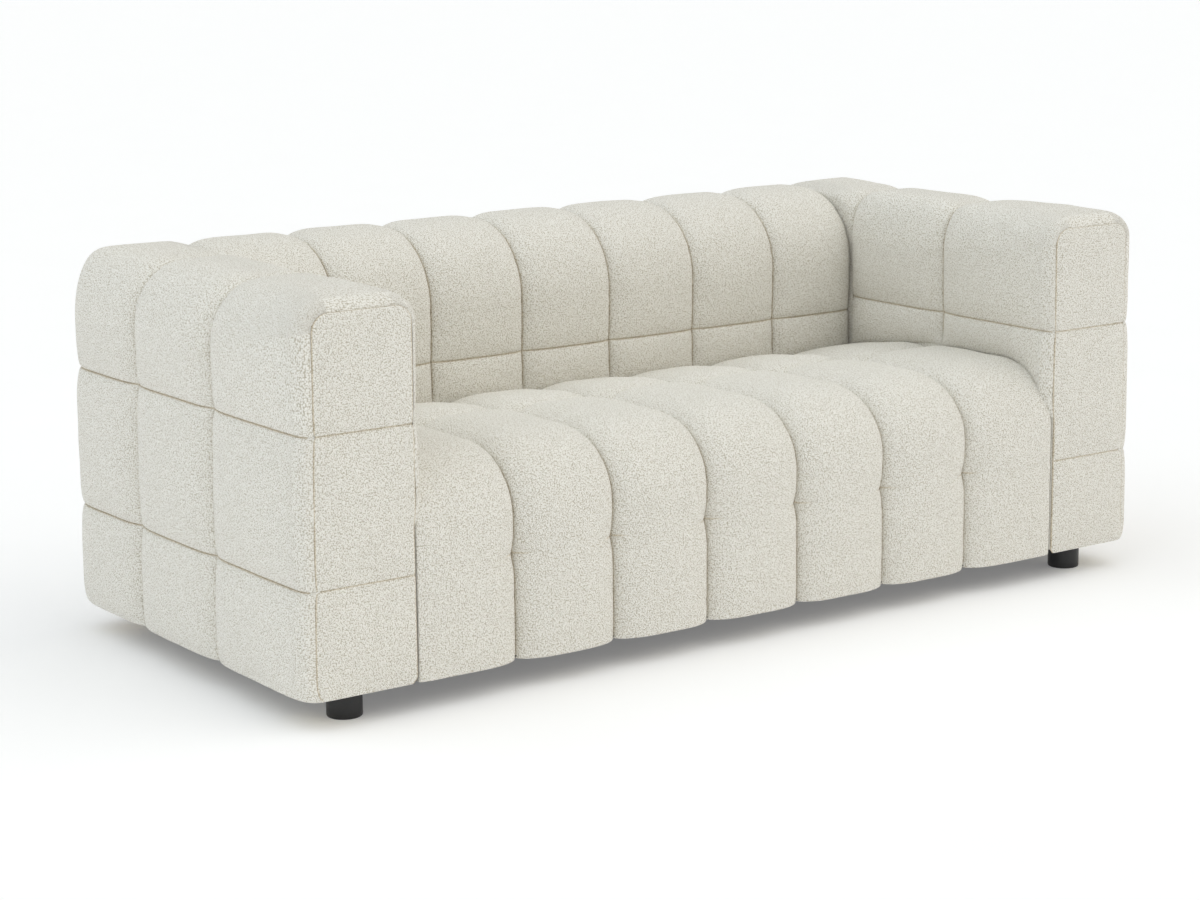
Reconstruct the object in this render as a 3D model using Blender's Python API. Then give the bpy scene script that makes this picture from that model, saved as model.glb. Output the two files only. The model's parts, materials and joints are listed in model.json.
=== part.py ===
"""Two-seater sofa with quilted arms, seat and back on four short round legs.

Built as an upholsterer builds it: timber frames, springs and webbing, foam over them, and quilted covers sewn
in blocks over the foam. Metres, +Z up. The origin is on the floor under the middle of the sofa, -Y is the front.
"""

import math

import bmesh
import bpy
import numpy as np

# Sizes over the seams of the quilted covers
WIDTH = 1.808
DEPTH = 0.814
TOP_HEIGHT = 0.688
LEG_HEIGHT = 0.056
ARM_WIDTH = 0.194
ARM_FLARE = 0.010
BACK_THICKNESS = 0.229
SEAT_HEIGHT = 0.394
SEAT_FALL = 0.035

# Seams: heights over the floor, and lengths along the cover
LOWER_SEAM = 0.233
UPPER_SEAM = 0.483
BACK_SEAM = 0.454
ARM_MIDDLE_BLOCK = 0.275
CORNER_SEAM_LEAD = 0.007
SEAT_REAR_BLOCK = 0.246
CHANNELS = 7

# Crowns of the quilted blocks over their seams
ARM_PUFF = 0.020
PANEL_PUFF = 0.012
BACK_PUFF = 0.020
SEAT_PUFF = 0.028
TOP_FLATNESS = 0.35
FULL_BLOCK = 0.150
SIDE_SEAM_RISE = 0.25
CROSS_SEAM_RISE = 0.25
REAR_TUFT_RISE = 0.60
FRONT_TUFT_RISE = 0.88
PUFF_FADE = 0.030
PILLOW_POWER = 3

# Roundings of the covers: across the arm and down its side, or one radius
END_ROUND = 0.040
END_ROLL = 0.030
END_LIP = 0.009
ARM_OUTER_ACROSS = 0.085
ARM_OUTER_DOWN = 0.100
ARM_INNER_ACROSS = 0.046
ARM_INNER_DOWN = 0.085
BACK_ROLL = 0.130
BACK_REAR_ROUND = 0.060
SEAT_ROLL_BACK = 0.110
SEAT_ROLL_DOWN = 0.100
SEAT_BEND = 0.020
LEAST_ROUND = 0.004

# Thicknesses of covers and foam
COVER = 0.012
PANEL = 0.012
ARM_FOAM = 0.035
ARM_FRONT_PAD = 0.025
BACK_FRONT_FOAM = 0.085
BACK_REAR_FOAM = 0.030
BACK_TOP_FOAM = 0.050
SEAT_FRONT_FOAM = 0.035

# Timber and boards
ARM_BOARD = 0.003
ARM_RAIL = 0.045
ARM_POST = 0.045
BACK_RAIL = 0.045
BACK_POST = 0.045
SEAT_RAIL = 0.030
SEAT_RAIL_TOP = 0.212
CENTRE_RAIL_DROP = 0.040

# Springs, webbing, steel plates and the sheet under the base
SPRINGS = 6
SPRING_WIRE = 0.004
SPRING_SWING = 0.022
SPRING_LOOPS = 7
CLIP_STRIP = 0.016
CLIP_STEEL = 0.0012
FELT = 0.004
STRAPS = 3
STRAP_WIDTH = 0.070
STRAP = 0.002
PLATE = 0.003
PLATE_WIDTH = 0.040
PLATE_GRIP = 0.028
PLATE_REACH = 0.071
DUST_SHEET = 0.001
DUST_SHEET_MARGIN = 0.015

# Legs
LEG_DIAMETER = 0.060
LEG_EDGE = 0.003
FRONT_LEG_FROM_SIDE = 0.089
FRONT_LEG_FROM_FRONT = 0.058
REAR_LEG_FROM_SIDE = 0.114
REAR_LEG_FROM_REAR = 0.050
STUD_DIAMETER = 0.008
STUD_LENGTH = 0.028

# Clearances
FIT = 0.0003
STUD_PLAY = 0.0004

# Cells of the meshes
BLOCK_CELLS = 6
CHANNEL_CELLS = 4
SHORT_CELLS = 4
RUN_CELLS = 3
TURN_CELLS = 4
TOP_CELLS = 2
ROLL_CELLS = 6
LEG_SIDES = 24
ROUND_STEPS = 5
CORNER_POINTS = 20
LOOP_STEPS = 4

# Places worked out from the sizes
LEFT, RIGHT = -1, 1
FRONT = -DEPTH / 2
REAR = DEPTH / 2
BACK_FACE = REAR - BACK_THICKNESS
BACK_OUTSIDE = REAR + PANEL_PUFF - BACK_PUFF
SEAT_FRONT = FRONT - PANEL_PUFF + SEAT_PUFF
ARM_FRONT = FRONT + PANEL + FIT
ARM_REAR = REAR - PANEL - FIT
ARM_REAR_SEAM = BACK_FACE - CORNER_SEAM_LEAD
ARM_FRONT_SEAM = ARM_REAR_SEAM - ARM_MIDDLE_BLOCK
INSIDE = WIDTH / 2 - ARM_WIDTH
SEAT_LINE = SEAT_HEIGHT + SEAT_PUFF
SEAT_REAR_LINE = SEAT_LINE - SEAT_FALL
COVER_BASE = LEG_HEIGHT + FIT
FRAME_BASE = LEG_HEIGHT + PLATE + 2 * FIT

ARM_FRAME_INSET = COVER + ARM_FOAM + 2 * FIT
ARM_FRAME_TOP = TOP_HEIGHT - ARM_FRAME_INSET
ARM_FRAME_OUTSIDE = WIDTH / 2 - ARM_FRAME_INSET
ARM_FRAME_INSIDE = INSIDE + ARM_FRAME_INSET
ARM_FRAME_FRONT = ARM_FRONT + ARM_FRONT_PAD + FIT
ARM_FRAME_REAR = ARM_REAR

BACK_STRAP_FRONT = BACK_FACE + COVER + BACK_FRONT_FOAM + 2 * FIT
BACK_FRAME_FRONT = BACK_STRAP_FRONT + STRAP + FIT
BACK_FRAME_REAR = BACK_OUTSIDE - COVER - BACK_REAR_FOAM - 2 * FIT
BACK_FRAME_TOP = TOP_HEIGHT - COVER - BACK_TOP_FOAM - 2 * FIT

FRONT_LEG = (WIDTH / 2 - FRONT_LEG_FROM_SIDE, FRONT + FRONT_LEG_FROM_FRONT)
REAR_LEG = (WIDTH / 2 - REAR_LEG_FROM_SIDE, REAR - REAR_LEG_FROM_REAR)

SEAT_SIDE = INSIDE - FIT
SEAT_REAR = BACK_FACE - FIT
SEAT_FRAME_FRONT = SEAT_FRONT + COVER + SEAT_FRONT_FOAM + 2 * FIT
CLIP_TOP = SEAT_RAIL_TOP + FIT + 2 * CLIP_STEEL + SPRING_WIRE + 2 * FIT
FELT_TOP = CLIP_TOP + FIT + FELT


def clear_scene():
    for old in list(bpy.data.objects):
        bpy.data.objects.remove(old, do_unlink=True)


def finish(name, colour, roughness, metallic=0.0):
    """A plain finish: colour in linear light, roughness and metallic value."""
    material = bpy.data.materials.new(name)
    material.use_nodes = True
    shader = material.node_tree.nodes["Principled BSDF"]
    shader.inputs["Base Color"].default_value = (*colour, 1)
    shader.inputs["Roughness"].default_value = roughness
    shader.inputs["Metallic"].default_value = metallic
    return material


def make_finishes():
    return {
        "fabric": finish("cream_loop_fabric", (0.72, 0.68, 0.60), 0.95),
        "foam": finish("seat_foam", (0.80, 0.72, 0.45), 0.95),
        "timber": finish("pine", (0.55, 0.36, 0.18), 0.70),
        "board": finish("brown_board", (0.22, 0.13, 0.07), 0.75),
        "steel": finish("spring_steel", (0.45, 0.45, 0.46), 0.35, 1.0),
        "felt": finish("grey_felt", (0.18, 0.18, 0.18), 0.95),
        "webbing": finish("black_webbing", (0.03, 0.03, 0.03), 0.85),
        "sheet": finish("black_sheet", (0.02, 0.02, 0.02), 0.90),
        "leg": finish("black_leg", (0.012, 0.012, 0.013), 0.50),
    }


def place(name, shape, material, location=(0, 0, 0)):
    """Turns a bmesh into a named object with outward faces, smooth where it is round."""
    bmesh.ops.recalc_face_normals(shape, faces=shape.faces)
    mesh = bpy.data.meshes.new(name)
    shape.to_mesh(mesh)
    shape.free()
    mesh.shade_smooth()
    mesh.set_sharp_from_angle(angle=math.radians(40))
    mesh.materials.append(material)
    made = bpy.data.objects.new(name, mesh)
    made.location = location
    bpy.context.scene.collection.objects.link(made)
    return made


def board(name, low, high, material):
    """A rectangular piece between two corners, placed by its middle."""
    low, high = np.minimum(low, high), np.maximum(low, high)
    shape = bmesh.new()
    bmesh.ops.create_cube(shape, size=1)
    bmesh.ops.scale(shape, vec=high - low, verts=shape.verts)
    return place(name, shape, material, (low + high) / 2)


def prism_along_x(name, outline, start, end, material):
    """A straight piece along X with the outline given as (y, z) points."""
    shape = bmesh.new()
    face = shape.faces.new([shape.verts.new((start, y, z)) for y, z in outline])
    grown = bmesh.ops.extrude_face_region(shape, geom=[face])
    moved = [part for part in grown["geom"] if isinstance(part, bmesh.types.BMVert)]
    bmesh.ops.translate(shape, vec=(end - start, 0, 0), verts=moved)
    return place(name, shape, material)


def add_grid(shape, points):
    """Faces over a grid of points, and the four rims of the grid."""
    lines = [[shape.verts.new(point) for point in line] for line in points]
    for one, other in zip(lines, lines[1:]):
        for k in range(len(one) - 1):
            shape.faces.new((one[k], one[k + 1], other[k + 1], other[k]))
    return lines[0], lines[-1], [line[0] for line in lines], [line[-1] for line in lines]


def shell(name, outer, inner, material):
    """A wall between two grids of points, with one flat face along each of its four rims."""
    shape = bmesh.new()
    for near, far in zip(add_grid(shape, outer), add_grid(shape, inner)):
        shape.faces.new(near + far[::-1])
    return place(name, shape, material)


def turned(name, profile, centre, material):
    """A round piece from (radius, height) points that start and end on its axis."""
    shape = bmesh.new()
    turns = [2 * math.pi * k / LEG_SIDES for k in range(LEG_SIDES)]
    rings = []
    for radius, height in profile:
        if radius == 0:
            rings.append([shape.verts.new((0, 0, height))] * LEG_SIDES)
        else:
            rings.append([shape.verts.new((radius * math.cos(a), radius * math.sin(a), height)) for a in turns])
    for upper, lower in zip(rings, rings[1:]):
        for k in range(LEG_SIDES):
            corners = (upper[k], lower[k], lower[k - 1], upper[k - 1])
            shape.faces.new(list(dict.fromkeys(corners)))
    return place(name, shape, material, centre)


def pillow(t):
    """Height of a stuffed block over its seams, 0 at both seams and 1 in the middle."""
    return np.sqrt(1 - np.abs(2 * t - 1) ** PILLOW_POWER)


def close_to_seams(cells):
    """Fractions of a block from 0 to 1 that lie closer together near its seams."""
    return (1 - np.cos(np.pi * np.arange(cells + 1) / cells)) / 2


def evenly(cells):
    return np.arange(cells + 1) / cells


def from_seam(cells):
    """Fractions that lie closer together near a seam at 0."""
    return 1 - np.cos(np.pi / 2 * evenly(cells))


def to_seam(cells):
    """Fractions that lie closer together near a seam at 1."""
    return np.sin(np.pi / 2 * evenly(cells))


def stations(stops, fractions):
    """Places between the stops, each stretch divided by its own fractions."""
    inner = [low + (high - low) * part[:-1] for low, high, part in zip(stops, stops[1:], fractions)]
    return np.concatenate(inner + [[stops[-1]]])


def pillows(places, seams):
    """Height of the blocks between these seams, 0 outside the first and the last. A short block puffs less."""
    height = np.zeros(len(places))
    for low, high in zip(seams, seams[1:]):
        inside = (places >= low) & (places <= high)
        full = min((high - low) / FULL_BLOCK, 1)
        height[inside] = np.maximum(height[inside], full * pillow((places[inside] - low) / (high - low)))
    return height


def flatter_on_top(normals):
    """Share of the crown that is left where the cover lies level on top."""
    return 1 - TOP_FLATNESS * np.maximum(normals[:, 1], 0) ** 2


def puffs(along_row, along_column, tied, side_rise, cross_rise):
    """Share of the crown over a grid of blocks: the seams themselves rise a little between their crossings."""
    both = np.outer(along_row, along_column)
    across = np.outer(np.ones(len(along_row)), along_column)
    up = np.outer(along_row, tied)
    return (1 - side_rise - cross_rise) * both + side_rise * across + cross_rise * up


def rounded_path(corners):
    """A line through corner points, rounded by quarter ellipses: each corner is (point, before, after)."""
    points = [np.array(corners[0][0])]
    for (last, _, _), (corner, before, after), (following, _, _) in zip(corners, corners[1:], corners[2:]):
        corner = np.array(corner)
        back = (np.array(last) - corner) / np.linalg.norm(np.array(last) - corner)
        ahead = (np.array(following) - corner) / np.linalg.norm(np.array(following) - corner)
        for k in range(CORNER_POINTS + 1):
            turn = math.pi / 2 * k / CORNER_POINTS
            points.append(corner + back * before * (1 - math.sin(turn)) + ahead * after * (1 - math.cos(turn)))
    points.append(np.array(corners[-1][0]))
    points = np.array(points)
    steps = np.linalg.norm(np.diff(points, axis=0), axis=1)
    return points, np.concatenate([[0], np.cumsum(steps)])


def turn_marks(path, corners):
    """Lengths along a rounded path where each rounding starts and ends."""
    starts = [1 + k * (CORNER_POINTS + 1) for k in range(corners)]
    return [path[1][place] for start in starts for place in (start, start + CORNER_POINTS)]


def along(path, places):
    """Points of a path at these lengths, and the directions that point out to its left."""
    points, lengths = path
    found = np.stack([np.interp(places, lengths, points[:, k]) for k in (0, 1)], axis=1)
    reach = lengths[-1] * 0.001
    ahead = np.minimum(places + reach, lengths[-1])
    behind = np.maximum(places - reach, 0)
    runs = [np.interp(ahead, lengths, points[:, k]) - np.interp(behind, lengths, points[:, k]) for k in (0, 1)]
    normals = np.stack([-runs[1], runs[0]], axis=1)
    return found, normals / np.linalg.norm(normals, axis=1, keepdims=True)


def back_roll_drop(y):
    """How far the front roll of the back lies below its top, at one depth."""
    rest = min(max(BACK_FACE + BACK_ROLL - y, 0), BACK_ROLL)
    return BACK_ROLL - math.sqrt(BACK_ROLL**2 - rest**2)


class ArmSection:
    """The arm cut across at one depth: up its outer side, over its top and down its inner side.

    Coordinates are (distance towards the middle of the sofa, height), for the left arm.
    """

    def __init__(self, y, inset):
        self.y = y
        marks = (ARM_FRONT, ARM_FRONT_SEAM)
        across = np.interp(y, marks, (END_ROUND, ARM_OUTER_ACROSS))
        down = np.interp(y, marks, (END_ROUND, ARM_OUTER_DOWN))
        inner_across = np.interp(y, marks, (END_ROUND, ARM_INNER_ACROSS))
        inner_down = np.interp(y, marks, (END_ROUND, ARM_INNER_DOWN))
        if y > ARM_REAR_SEAM:
            inner_down = min(inner_down, back_roll_drop(y))
        sizes = [max(size - inset, LEAST_ROUND) for size in (down, across, inner_across, inner_down)]
        outside = -WIDTH / 2 + inset
        inside = -INSIDE - inset
        top = TOP_HEIGHT - inset
        self.path = rounded_path([
            ((outside - ARM_FLARE, COVER_BASE), 0, 0),
            ((outside, top), sizes[0], sizes[1]),
            ((inside, top), sizes[2], sizes[3]),
            ((inside, FRAME_BASE), 0, 0),
        ])
        self.end = self.path[1][-1]
        self.turn_marks = turn_marks(self.path, 2)
        self.edge = self.turn_marks[-1]

    def outer(self, height):
        return height - COVER_BASE

    def inner(self, height):
        return self.end - (height - FRAME_BASE)

    def seams(self):
        """Where seams cross this section. Behind the back's face the inner side is plain and hidden."""
        outer_seams = [0, self.outer(LOWER_SEAM), self.outer(UPPER_SEAM)]
        if self.y >= ARM_REAR_SEAM:
            return outer_seams + [self.edge]
        return outer_seams + [self.inner(UPPER_SEAM), self.inner(SEAT_LINE)]

    def skin(self, places, along_arm):
        """Points of the quilted outside at these lengths, for one share of the crown along the arm."""
        seams = self.seams()
        points, normals = along(self.path, places)
        tied = np.clip((seams[-1] - places) / PUFF_FADE, 0, 1)
        share = puffs(np.array([along_arm]), pillows(places, seams), tied, SIDE_SEAM_RISE, CROSS_SEAM_RISE)[0]
        stuffed = points + normals * (ARM_PUFF * flatter_on_top(normals) * share)[:, None]
        if self.y >= ARM_REAR_SEAM:
            stuffed[:, 0] = np.minimum(stuffed[:, 0], -INSIDE)
        return stuffed


def arm_points(side, y, flat):
    """Points in space from (x, z) points of a left arm's section."""
    return [(-side * x, y, z) for x, z in flat]


def end_inset(y):
    """How far the cover rolls in towards the panel on the nearer end of the arm."""
    rest = max(END_ROLL - min(y - FRONT, REAR - y), 0) / END_ROLL
    return END_LIP * (1 - math.sqrt(1 - rest**2))


def arm_cover_outside(side):
    ends, block = from_seam(ROLL_CELLS // 2), close_to_seams(BLOCK_CELLS)
    stops = (FRONT, FRONT + END_ROLL, ARM_FRONT_SEAM, ARM_REAR_SEAM, REAR - END_ROLL, REAR)
    depths = stations(stops, (ends, to_seam(RUN_CELLS), block, from_seam(RUN_CELLS), 1 - ends[::-1]))
    heights = pillows(depths, (FRONT, ARM_FRONT_SEAM, ARM_REAR_SEAM, REAR))
    short, turn = close_to_seams(SHORT_CELLS), evenly(TURN_CELLS)
    cells = (short, short, from_seam(RUN_CELLS), turn, evenly(TOP_CELLS), turn, to_seam(RUN_CELLS), short, evenly(1))
    lines = []
    for y, height in zip(depths, heights):
        cut = ArmSection(y, end_inset(y))
        outer_stops = [0, cut.outer(LOWER_SEAM), cut.outer(UPPER_SEAM)]
        inner_stops = [cut.inner(UPPER_SEAM), cut.inner(SEAT_LINE), cut.end]
        places = stations(outer_stops + cut.turn_marks + inner_stops, cells)
        lines.append(arm_points(side, y, cut.skin(places, height)))
    return lines


def arm_lining(side, inset, fronts, rears):
    """The plain inner side of the arm's cover, or the outer side of its foam."""
    roll = [BACK_FACE + BACK_ROLL * (1 - math.cos(math.pi / 2 * t)) for t in evenly(ROUND_STEPS)]
    lines = []
    for y in [*fronts, ARM_FRONT_SEAM, ARM_REAR_SEAM, *roll, *rears]:
        cut = ArmSection(y, inset)
        stops = [0] + cut.turn_marks + [cut.end]
        turns = (evenly(1), evenly(ROUND_STEPS), evenly(1), evenly(ROUND_STEPS), evenly(1))
        lines.append(arm_points(side, y, along(cut.path, stations(stops, turns))[0]))
    return lines


def arm_end_panel(name, side, y, outwards, material):
    """The sewn panel set into one end of an arm: three stuffed blocks, flat behind."""
    cut = ArmSection(y, COVER + FIT)
    short = close_to_seams(SHORT_CELLS)
    rows = (short, short, from_seam(RUN_CELLS), evenly(ROUND_STEPS))
    outer_start, outer_end, inner_start, inner_end = cut.turn_marks
    up_outer = stations((0, cut.outer(LOWER_SEAM), cut.outer(UPPER_SEAM), outer_start, outer_end), rows)
    up_inner = stations((cut.end, cut.inner(LOWER_SEAM), cut.inner(UPPER_SEAM), inner_end, inner_start), rows)
    left, right = along(cut.path, up_outer)[0], along(cut.path, up_inner)[0]
    right[0, 1] = COVER_BASE
    across = close_to_seams(BLOCK_CELLS)
    edge = np.clip(np.minimum(up_outer, outer_end - up_outer) / END_ROUND, 0, 1)
    stuffed = pillows(up_outer, (0, cut.outer(LOWER_SEAM), cut.outer(UPPER_SEAM), outer_end))
    bulge = np.outer((1 - CROSS_SEAM_RISE) * stuffed + CROSS_SEAM_RISE * edge, pillow(across))
    seam_plane = FRONT if outwards < 0 else REAR
    lines = []
    for start, end, row in zip(left, right, bulge):
        flat = start + (end - start) * across[:, None]
        lines.append([(-side * x, seam_plane + outwards * PANEL_PUFF * share, z) for (x, z), share in zip(flat, row)])
    shape = bmesh.new()
    low, high, outer_side, inner_side = add_grid(shape, lines)
    rim = low + inner_side[1:] + high[-2::-1] + outer_side[-2:0:-1]
    behind = [shape.verts.new((v.co.x, seam_plane - outwards * PANEL, v.co.z)) for v in rim]
    for k in range(len(rim)):
        shape.faces.new((rim[k - 1], rim[k], behind[k], behind[k - 1]))
    shape.faces.new(behind)
    return place(name, shape, material)


def arm_foam(name, side, material):
    """One jacket of foam over the arm's frame, open below."""
    outer = arm_lining(side, COVER + FIT, [ARM_FRONT], [ARM_REAR])
    outside, inside, top = ARM_FRAME_OUTSIDE + FIT, ARM_FRAME_INSIDE - FIT, ARM_FRAME_TOP + FIT
    corners = [(-outside, COVER_BASE), (-outside, top), (-inside, top), (-inside, FRAME_BASE)]
    inner = [arm_points(side, y, corners) for y in (ARM_FRONT, ARM_REAR)]
    return shell(name, outer, inner, material)


def arm_timber(prefix, side, finishes):
    """Rails, posts and boards of one arm, and the foam pad behind its front panel."""
    timber = finishes["timber"]
    core_out = side * (ARM_FRAME_OUTSIDE - ARM_BOARD - FIT)
    core_in = side * (ARM_FRAME_INSIDE + ARM_BOARD + FIT)
    front, rear = ARM_FRAME_FRONT, ARM_FRAME_REAR
    low_rail_top = FRAME_BASE + ARM_RAIL
    high_rail_base = ARM_FRAME_TOP - ARM_RAIL
    rail = board(prefix + "_bottom_rail", (core_out, front, FRAME_BASE), (core_in, rear, low_rail_top), timber)
    board(prefix + "_top_rail", (core_out, front, high_rail_base), (core_in, rear, ARM_FRAME_TOP), timber)
    for name, start in (("_front_post", front), ("_rear_post", rear - ARM_POST)):
        low = (core_out, start, low_rail_top + FIT)
        high = (core_in, start + ARM_POST, high_rail_base - FIT)
        board(prefix + name, low, high, timber)
    for name, near in (("_outer_board", ARM_FRAME_OUTSIDE - ARM_BOARD), ("_inner_board", ARM_FRAME_INSIDE)):
        low = (side * near, front, FRAME_BASE)
        high = (side * (near + ARM_BOARD), rear, ARM_FRAME_TOP)
        board(prefix + name, low, high, finishes["board"])
    low = (side * ARM_FRAME_OUTSIDE, ARM_FRONT, FRAME_BASE)
    high = (side * ARM_FRAME_INSIDE, ARM_FRONT + ARM_FRONT_PAD, ARM_FRAME_TOP)
    board(prefix + "_front_pad", low, high, finishes["foam"])
    return rail


def make_arm(prefix, side, finishes):
    fabric = finishes["fabric"]
    lining = arm_lining(side, COVER, [FRONT, ARM_FRONT], [ARM_REAR, REAR])
    shell(prefix + "_cover", arm_cover_outside(side), lining, fabric)
    arm_end_panel(prefix + "_front_panel", side, ARM_FRONT, -1, fabric)
    arm_end_panel(prefix + "_rear_panel", side, ARM_REAR, 1, fabric)
    arm_foam(prefix + "_foam", side, finishes["foam"])
    return arm_timber(prefix, side, finishes)


def back_profile(inset, base):
    """The back cut from rear to front, as (forward, height): up outside, over the top, down inside."""
    outside = -BACK_OUTSIDE + inset
    face = -BACK_FACE - inset
    top = TOP_HEIGHT - inset
    round_rear = max(BACK_REAR_ROUND - inset, LEAST_ROUND)
    roll = max(BACK_ROLL - inset, LEAST_ROUND)
    return rounded_path([
        ((outside, base), 0, 0),
        ((outside, top), round_rear, round_rear),
        ((face, top), roll, roll),
        ((face, FRAME_BASE), 0, 0),
    ])


def seat_profile(inset):
    """The seat cut from rear to front, as (forward, height): up to the tufts, along the top, over the roll, down."""
    front = -SEAT_FRONT - inset
    top = SEAT_HEIGHT - inset
    return rounded_path([
        ((-SEAT_REAR, top - SEAT_FALL), 0, 0),
        ((SEAT_REAR_BLOCK - SEAT_REAR, top), SEAT_BEND, SEAT_BEND),
        ((front, top), SEAT_ROLL_BACK - inset, SEAT_ROLL_DOWN - inset),
        ((front, COVER_BASE), 0, 0),
    ])


def channelled(path, places, seams, tied, rises, crowns, cells, rearmost):
    """Points over a row of channels between the arms, which follow one profile and end at the rearmost depth."""
    joins = np.linspace(-SEAT_SIDE, SEAT_SIDE, CHANNELS + 1)
    across = stations(joins, [close_to_seams(cells)] * CHANNELS)
    share = puffs(pillows(across, joins), pillows(places, seams), tied, *rises)
    points, normals = along(path, places)
    lines = []
    for x, row in zip(across, share):
        flat = points + normals * (crowns * row)[:, None]
        lines.append([(x, min(-forward, rearmost), z) for forward, z in flat])
    return lines


def extruded(points, half_width):
    """Two lines of points, one at each end of a straight piece along X."""
    return [[(x, -forward, z) for forward, z in points] for x in (-half_width, half_width)]


def profile_stops(path, corners):
    """Lengths along a rounded path that its straight runs and its roundings need."""
    turns = [evenly(1)] + [evenly(2 * ROUND_STEPS), evenly(1)] * corners
    return stations([0] + turn_marks(path, corners) + [path[1][-1]], turns)


def back_cover(material):
    path = back_profile(0, COVER_BASE)
    end = path[1][-1]
    low, high = LOWER_SEAM - COVER_BASE, UPPER_SEAM - COVER_BASE
    inner_seam = end - (BACK_SEAM - FRAME_BASE)
    seat_line = end - (SEAT_REAR_LINE - FRAME_BASE)
    short = close_to_seams(SHORT_CELLS)
    run, turn = from_seam(RUN_CELLS), evenly(TURN_CELLS)
    cells = (short, short, run, turn, evenly(TOP_CELLS), evenly(ROLL_CELLS), to_seam(RUN_CELLS), short, evenly(1))
    places = stations([0, low, high] + turn_marks(path, 2) + [inner_seam, seat_line, end], cells)
    tied = np.clip((seat_line - places) / PUFF_FADE, 0, 1)
    rises = (SIDE_SEAM_RISE, CROSS_SEAM_RISE)
    seams = (0, low, high, inner_seam, seat_line)
    crowns = BACK_PUFF * flatter_on_top(along(path, places)[1])
    outer = channelled(path, places, seams, tied, rises, crowns, CHANNEL_CELLS, BACK_OUTSIDE + BACK_PUFF)
    lining = back_profile(COVER, COVER_BASE)
    inner = extruded(along(lining, profile_stops(lining, 2))[0], SEAT_SIDE)
    return shell("back_cover", outer, inner, material)


def back_foam(material):
    outline = back_profile(COVER + FIT, COVER_BASE)
    outer = extruded(along(outline, profile_stops(outline, 2))[0], SEAT_SIDE)
    rear, face, top = -BACK_FRAME_REAR - FIT, -BACK_STRAP_FRONT + FIT, BACK_FRAME_TOP + FIT
    inner = extruded([(rear, COVER_BASE), (rear, top), (face, top), (face, FRAME_BASE)], SEAT_SIDE)
    return shell("back_foam", outer, inner, material)


def back_frame(finishes):
    """Two rails and three posts, with straps across the front of the posts."""
    timber = finishes["timber"]
    front, rear = BACK_FRAME_FRONT, BACK_FRAME_REAR
    low_rail_top = FRAME_BASE + BACK_RAIL
    high_rail_base = BACK_FRAME_TOP - BACK_RAIL
    board("back_bottom_rail", (-SEAT_SIDE, front, FRAME_BASE), (SEAT_SIDE, rear, low_rail_top), timber)
    board("back_top_rail", (-SEAT_SIDE, front, high_rail_base), (SEAT_SIDE, rear, BACK_FRAME_TOP), timber)
    reach = SEAT_SIDE - BACK_POST / 2
    for name, x in (("back_left_post", -reach), ("back_centre_post", 0), ("back_right_post", reach)):
        low = (x - BACK_POST / 2, front, low_rail_top + FIT)
        high = (x + BACK_POST / 2, rear, high_rail_base - FIT)
        board(name, low, high, timber)
    room = (high_rail_base - SEAT_RAIL_TOP - STRAPS * STRAP_WIDTH) / (STRAPS + 1)
    for k in range(STRAPS):
        base = SEAT_RAIL_TOP + room + k * (STRAP_WIDTH + room)
        low = (-SEAT_SIDE, BACK_STRAP_FRONT, base)
        high = (SEAT_SIDE, BACK_STRAP_FRONT + STRAP, base + STRAP_WIDTH)
        board(f"back_strap_{k + 1}", low, high, finishes["webbing"])


def seat_cover(material):
    path = seat_profile(0)
    end = path[1][-1]
    bend_start, bend_end, roll_start, roll_end = turn_marks(path, 2)
    rear_tufts, front_tufts = (bend_start + bend_end) / 2, end - (LOWER_SEAM - COVER_BASE)
    seams = (0, rear_tufts, front_tufts, end)
    rear, front = close_to_seams(BLOCK_CELLS), close_to_seams(SHORT_CELLS)
    cells = (rear, from_seam(RUN_CELLS), evenly(ROLL_CELLS), to_seam(RUN_CELLS), front)
    places = stations([0, rear_tufts, roll_start, roll_end, front_tufts, end], cells)
    tuft_rise = np.interp(places, (rear_tufts, front_tufts), (REAR_TUFT_RISE, FRONT_TUFT_RISE))
    rises = (SIDE_SEAM_RISE * (1 - tuft_rise), tuft_rise)
    outer = channelled(path, places, seams, np.ones(len(places)), rises, SEAT_PUFF, BLOCK_CELLS, SEAT_REAR)
    lining = seat_profile(COVER)
    inner = extruded(along(lining, profile_stops(lining, 2))[0], SEAT_SIDE)
    return shell("seat_cover", outer, inner, material)


def seat_foam(material):
    """A deep block over the springs that turns down in front of the front rail."""
    outline = seat_profile(COVER + FIT)
    outer = [(-forward, z) for forward, z in along(outline, profile_stops(outline, 2))[0]]
    behind = SEAT_FRAME_FRONT - FIT
    inner = [(behind, COVER_BASE), (behind, FELT_TOP + FIT), (SEAT_REAR, FELT_TOP + FIT)]
    return prism_along_x("seat_foam", outer + inner, -SEAT_SIDE, SEAT_SIDE, material)


def seat_frame(finishes):
    timber = finishes["timber"]
    front, rear = SEAT_FRAME_FRONT, SEAT_REAR
    low, high = FRAME_BASE, SEAT_RAIL_TOP
    board("seat_front_rail", (-SEAT_SIDE, front, low), (SEAT_SIDE, front + SEAT_RAIL, high), timber)
    board("seat_rear_rail", (-SEAT_SIDE, rear - SEAT_RAIL, low), (SEAT_SIDE, rear, high), timber)
    start, end = front + SEAT_RAIL + FIT, rear - SEAT_RAIL - FIT
    board("seat_left_rail", (-SEAT_SIDE, start, low), (SEAT_RAIL - SEAT_SIDE, end, high), timber)
    board("seat_right_rail", (SEAT_SIDE - SEAT_RAIL, start, low), (SEAT_SIDE, end, high), timber)
    centre_top = high - CENTRE_RAIL_DROP
    board("seat_centre_rail", (-SEAT_RAIL / 2, start, low), (SEAT_RAIL / 2, end, centre_top), timber)


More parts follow.
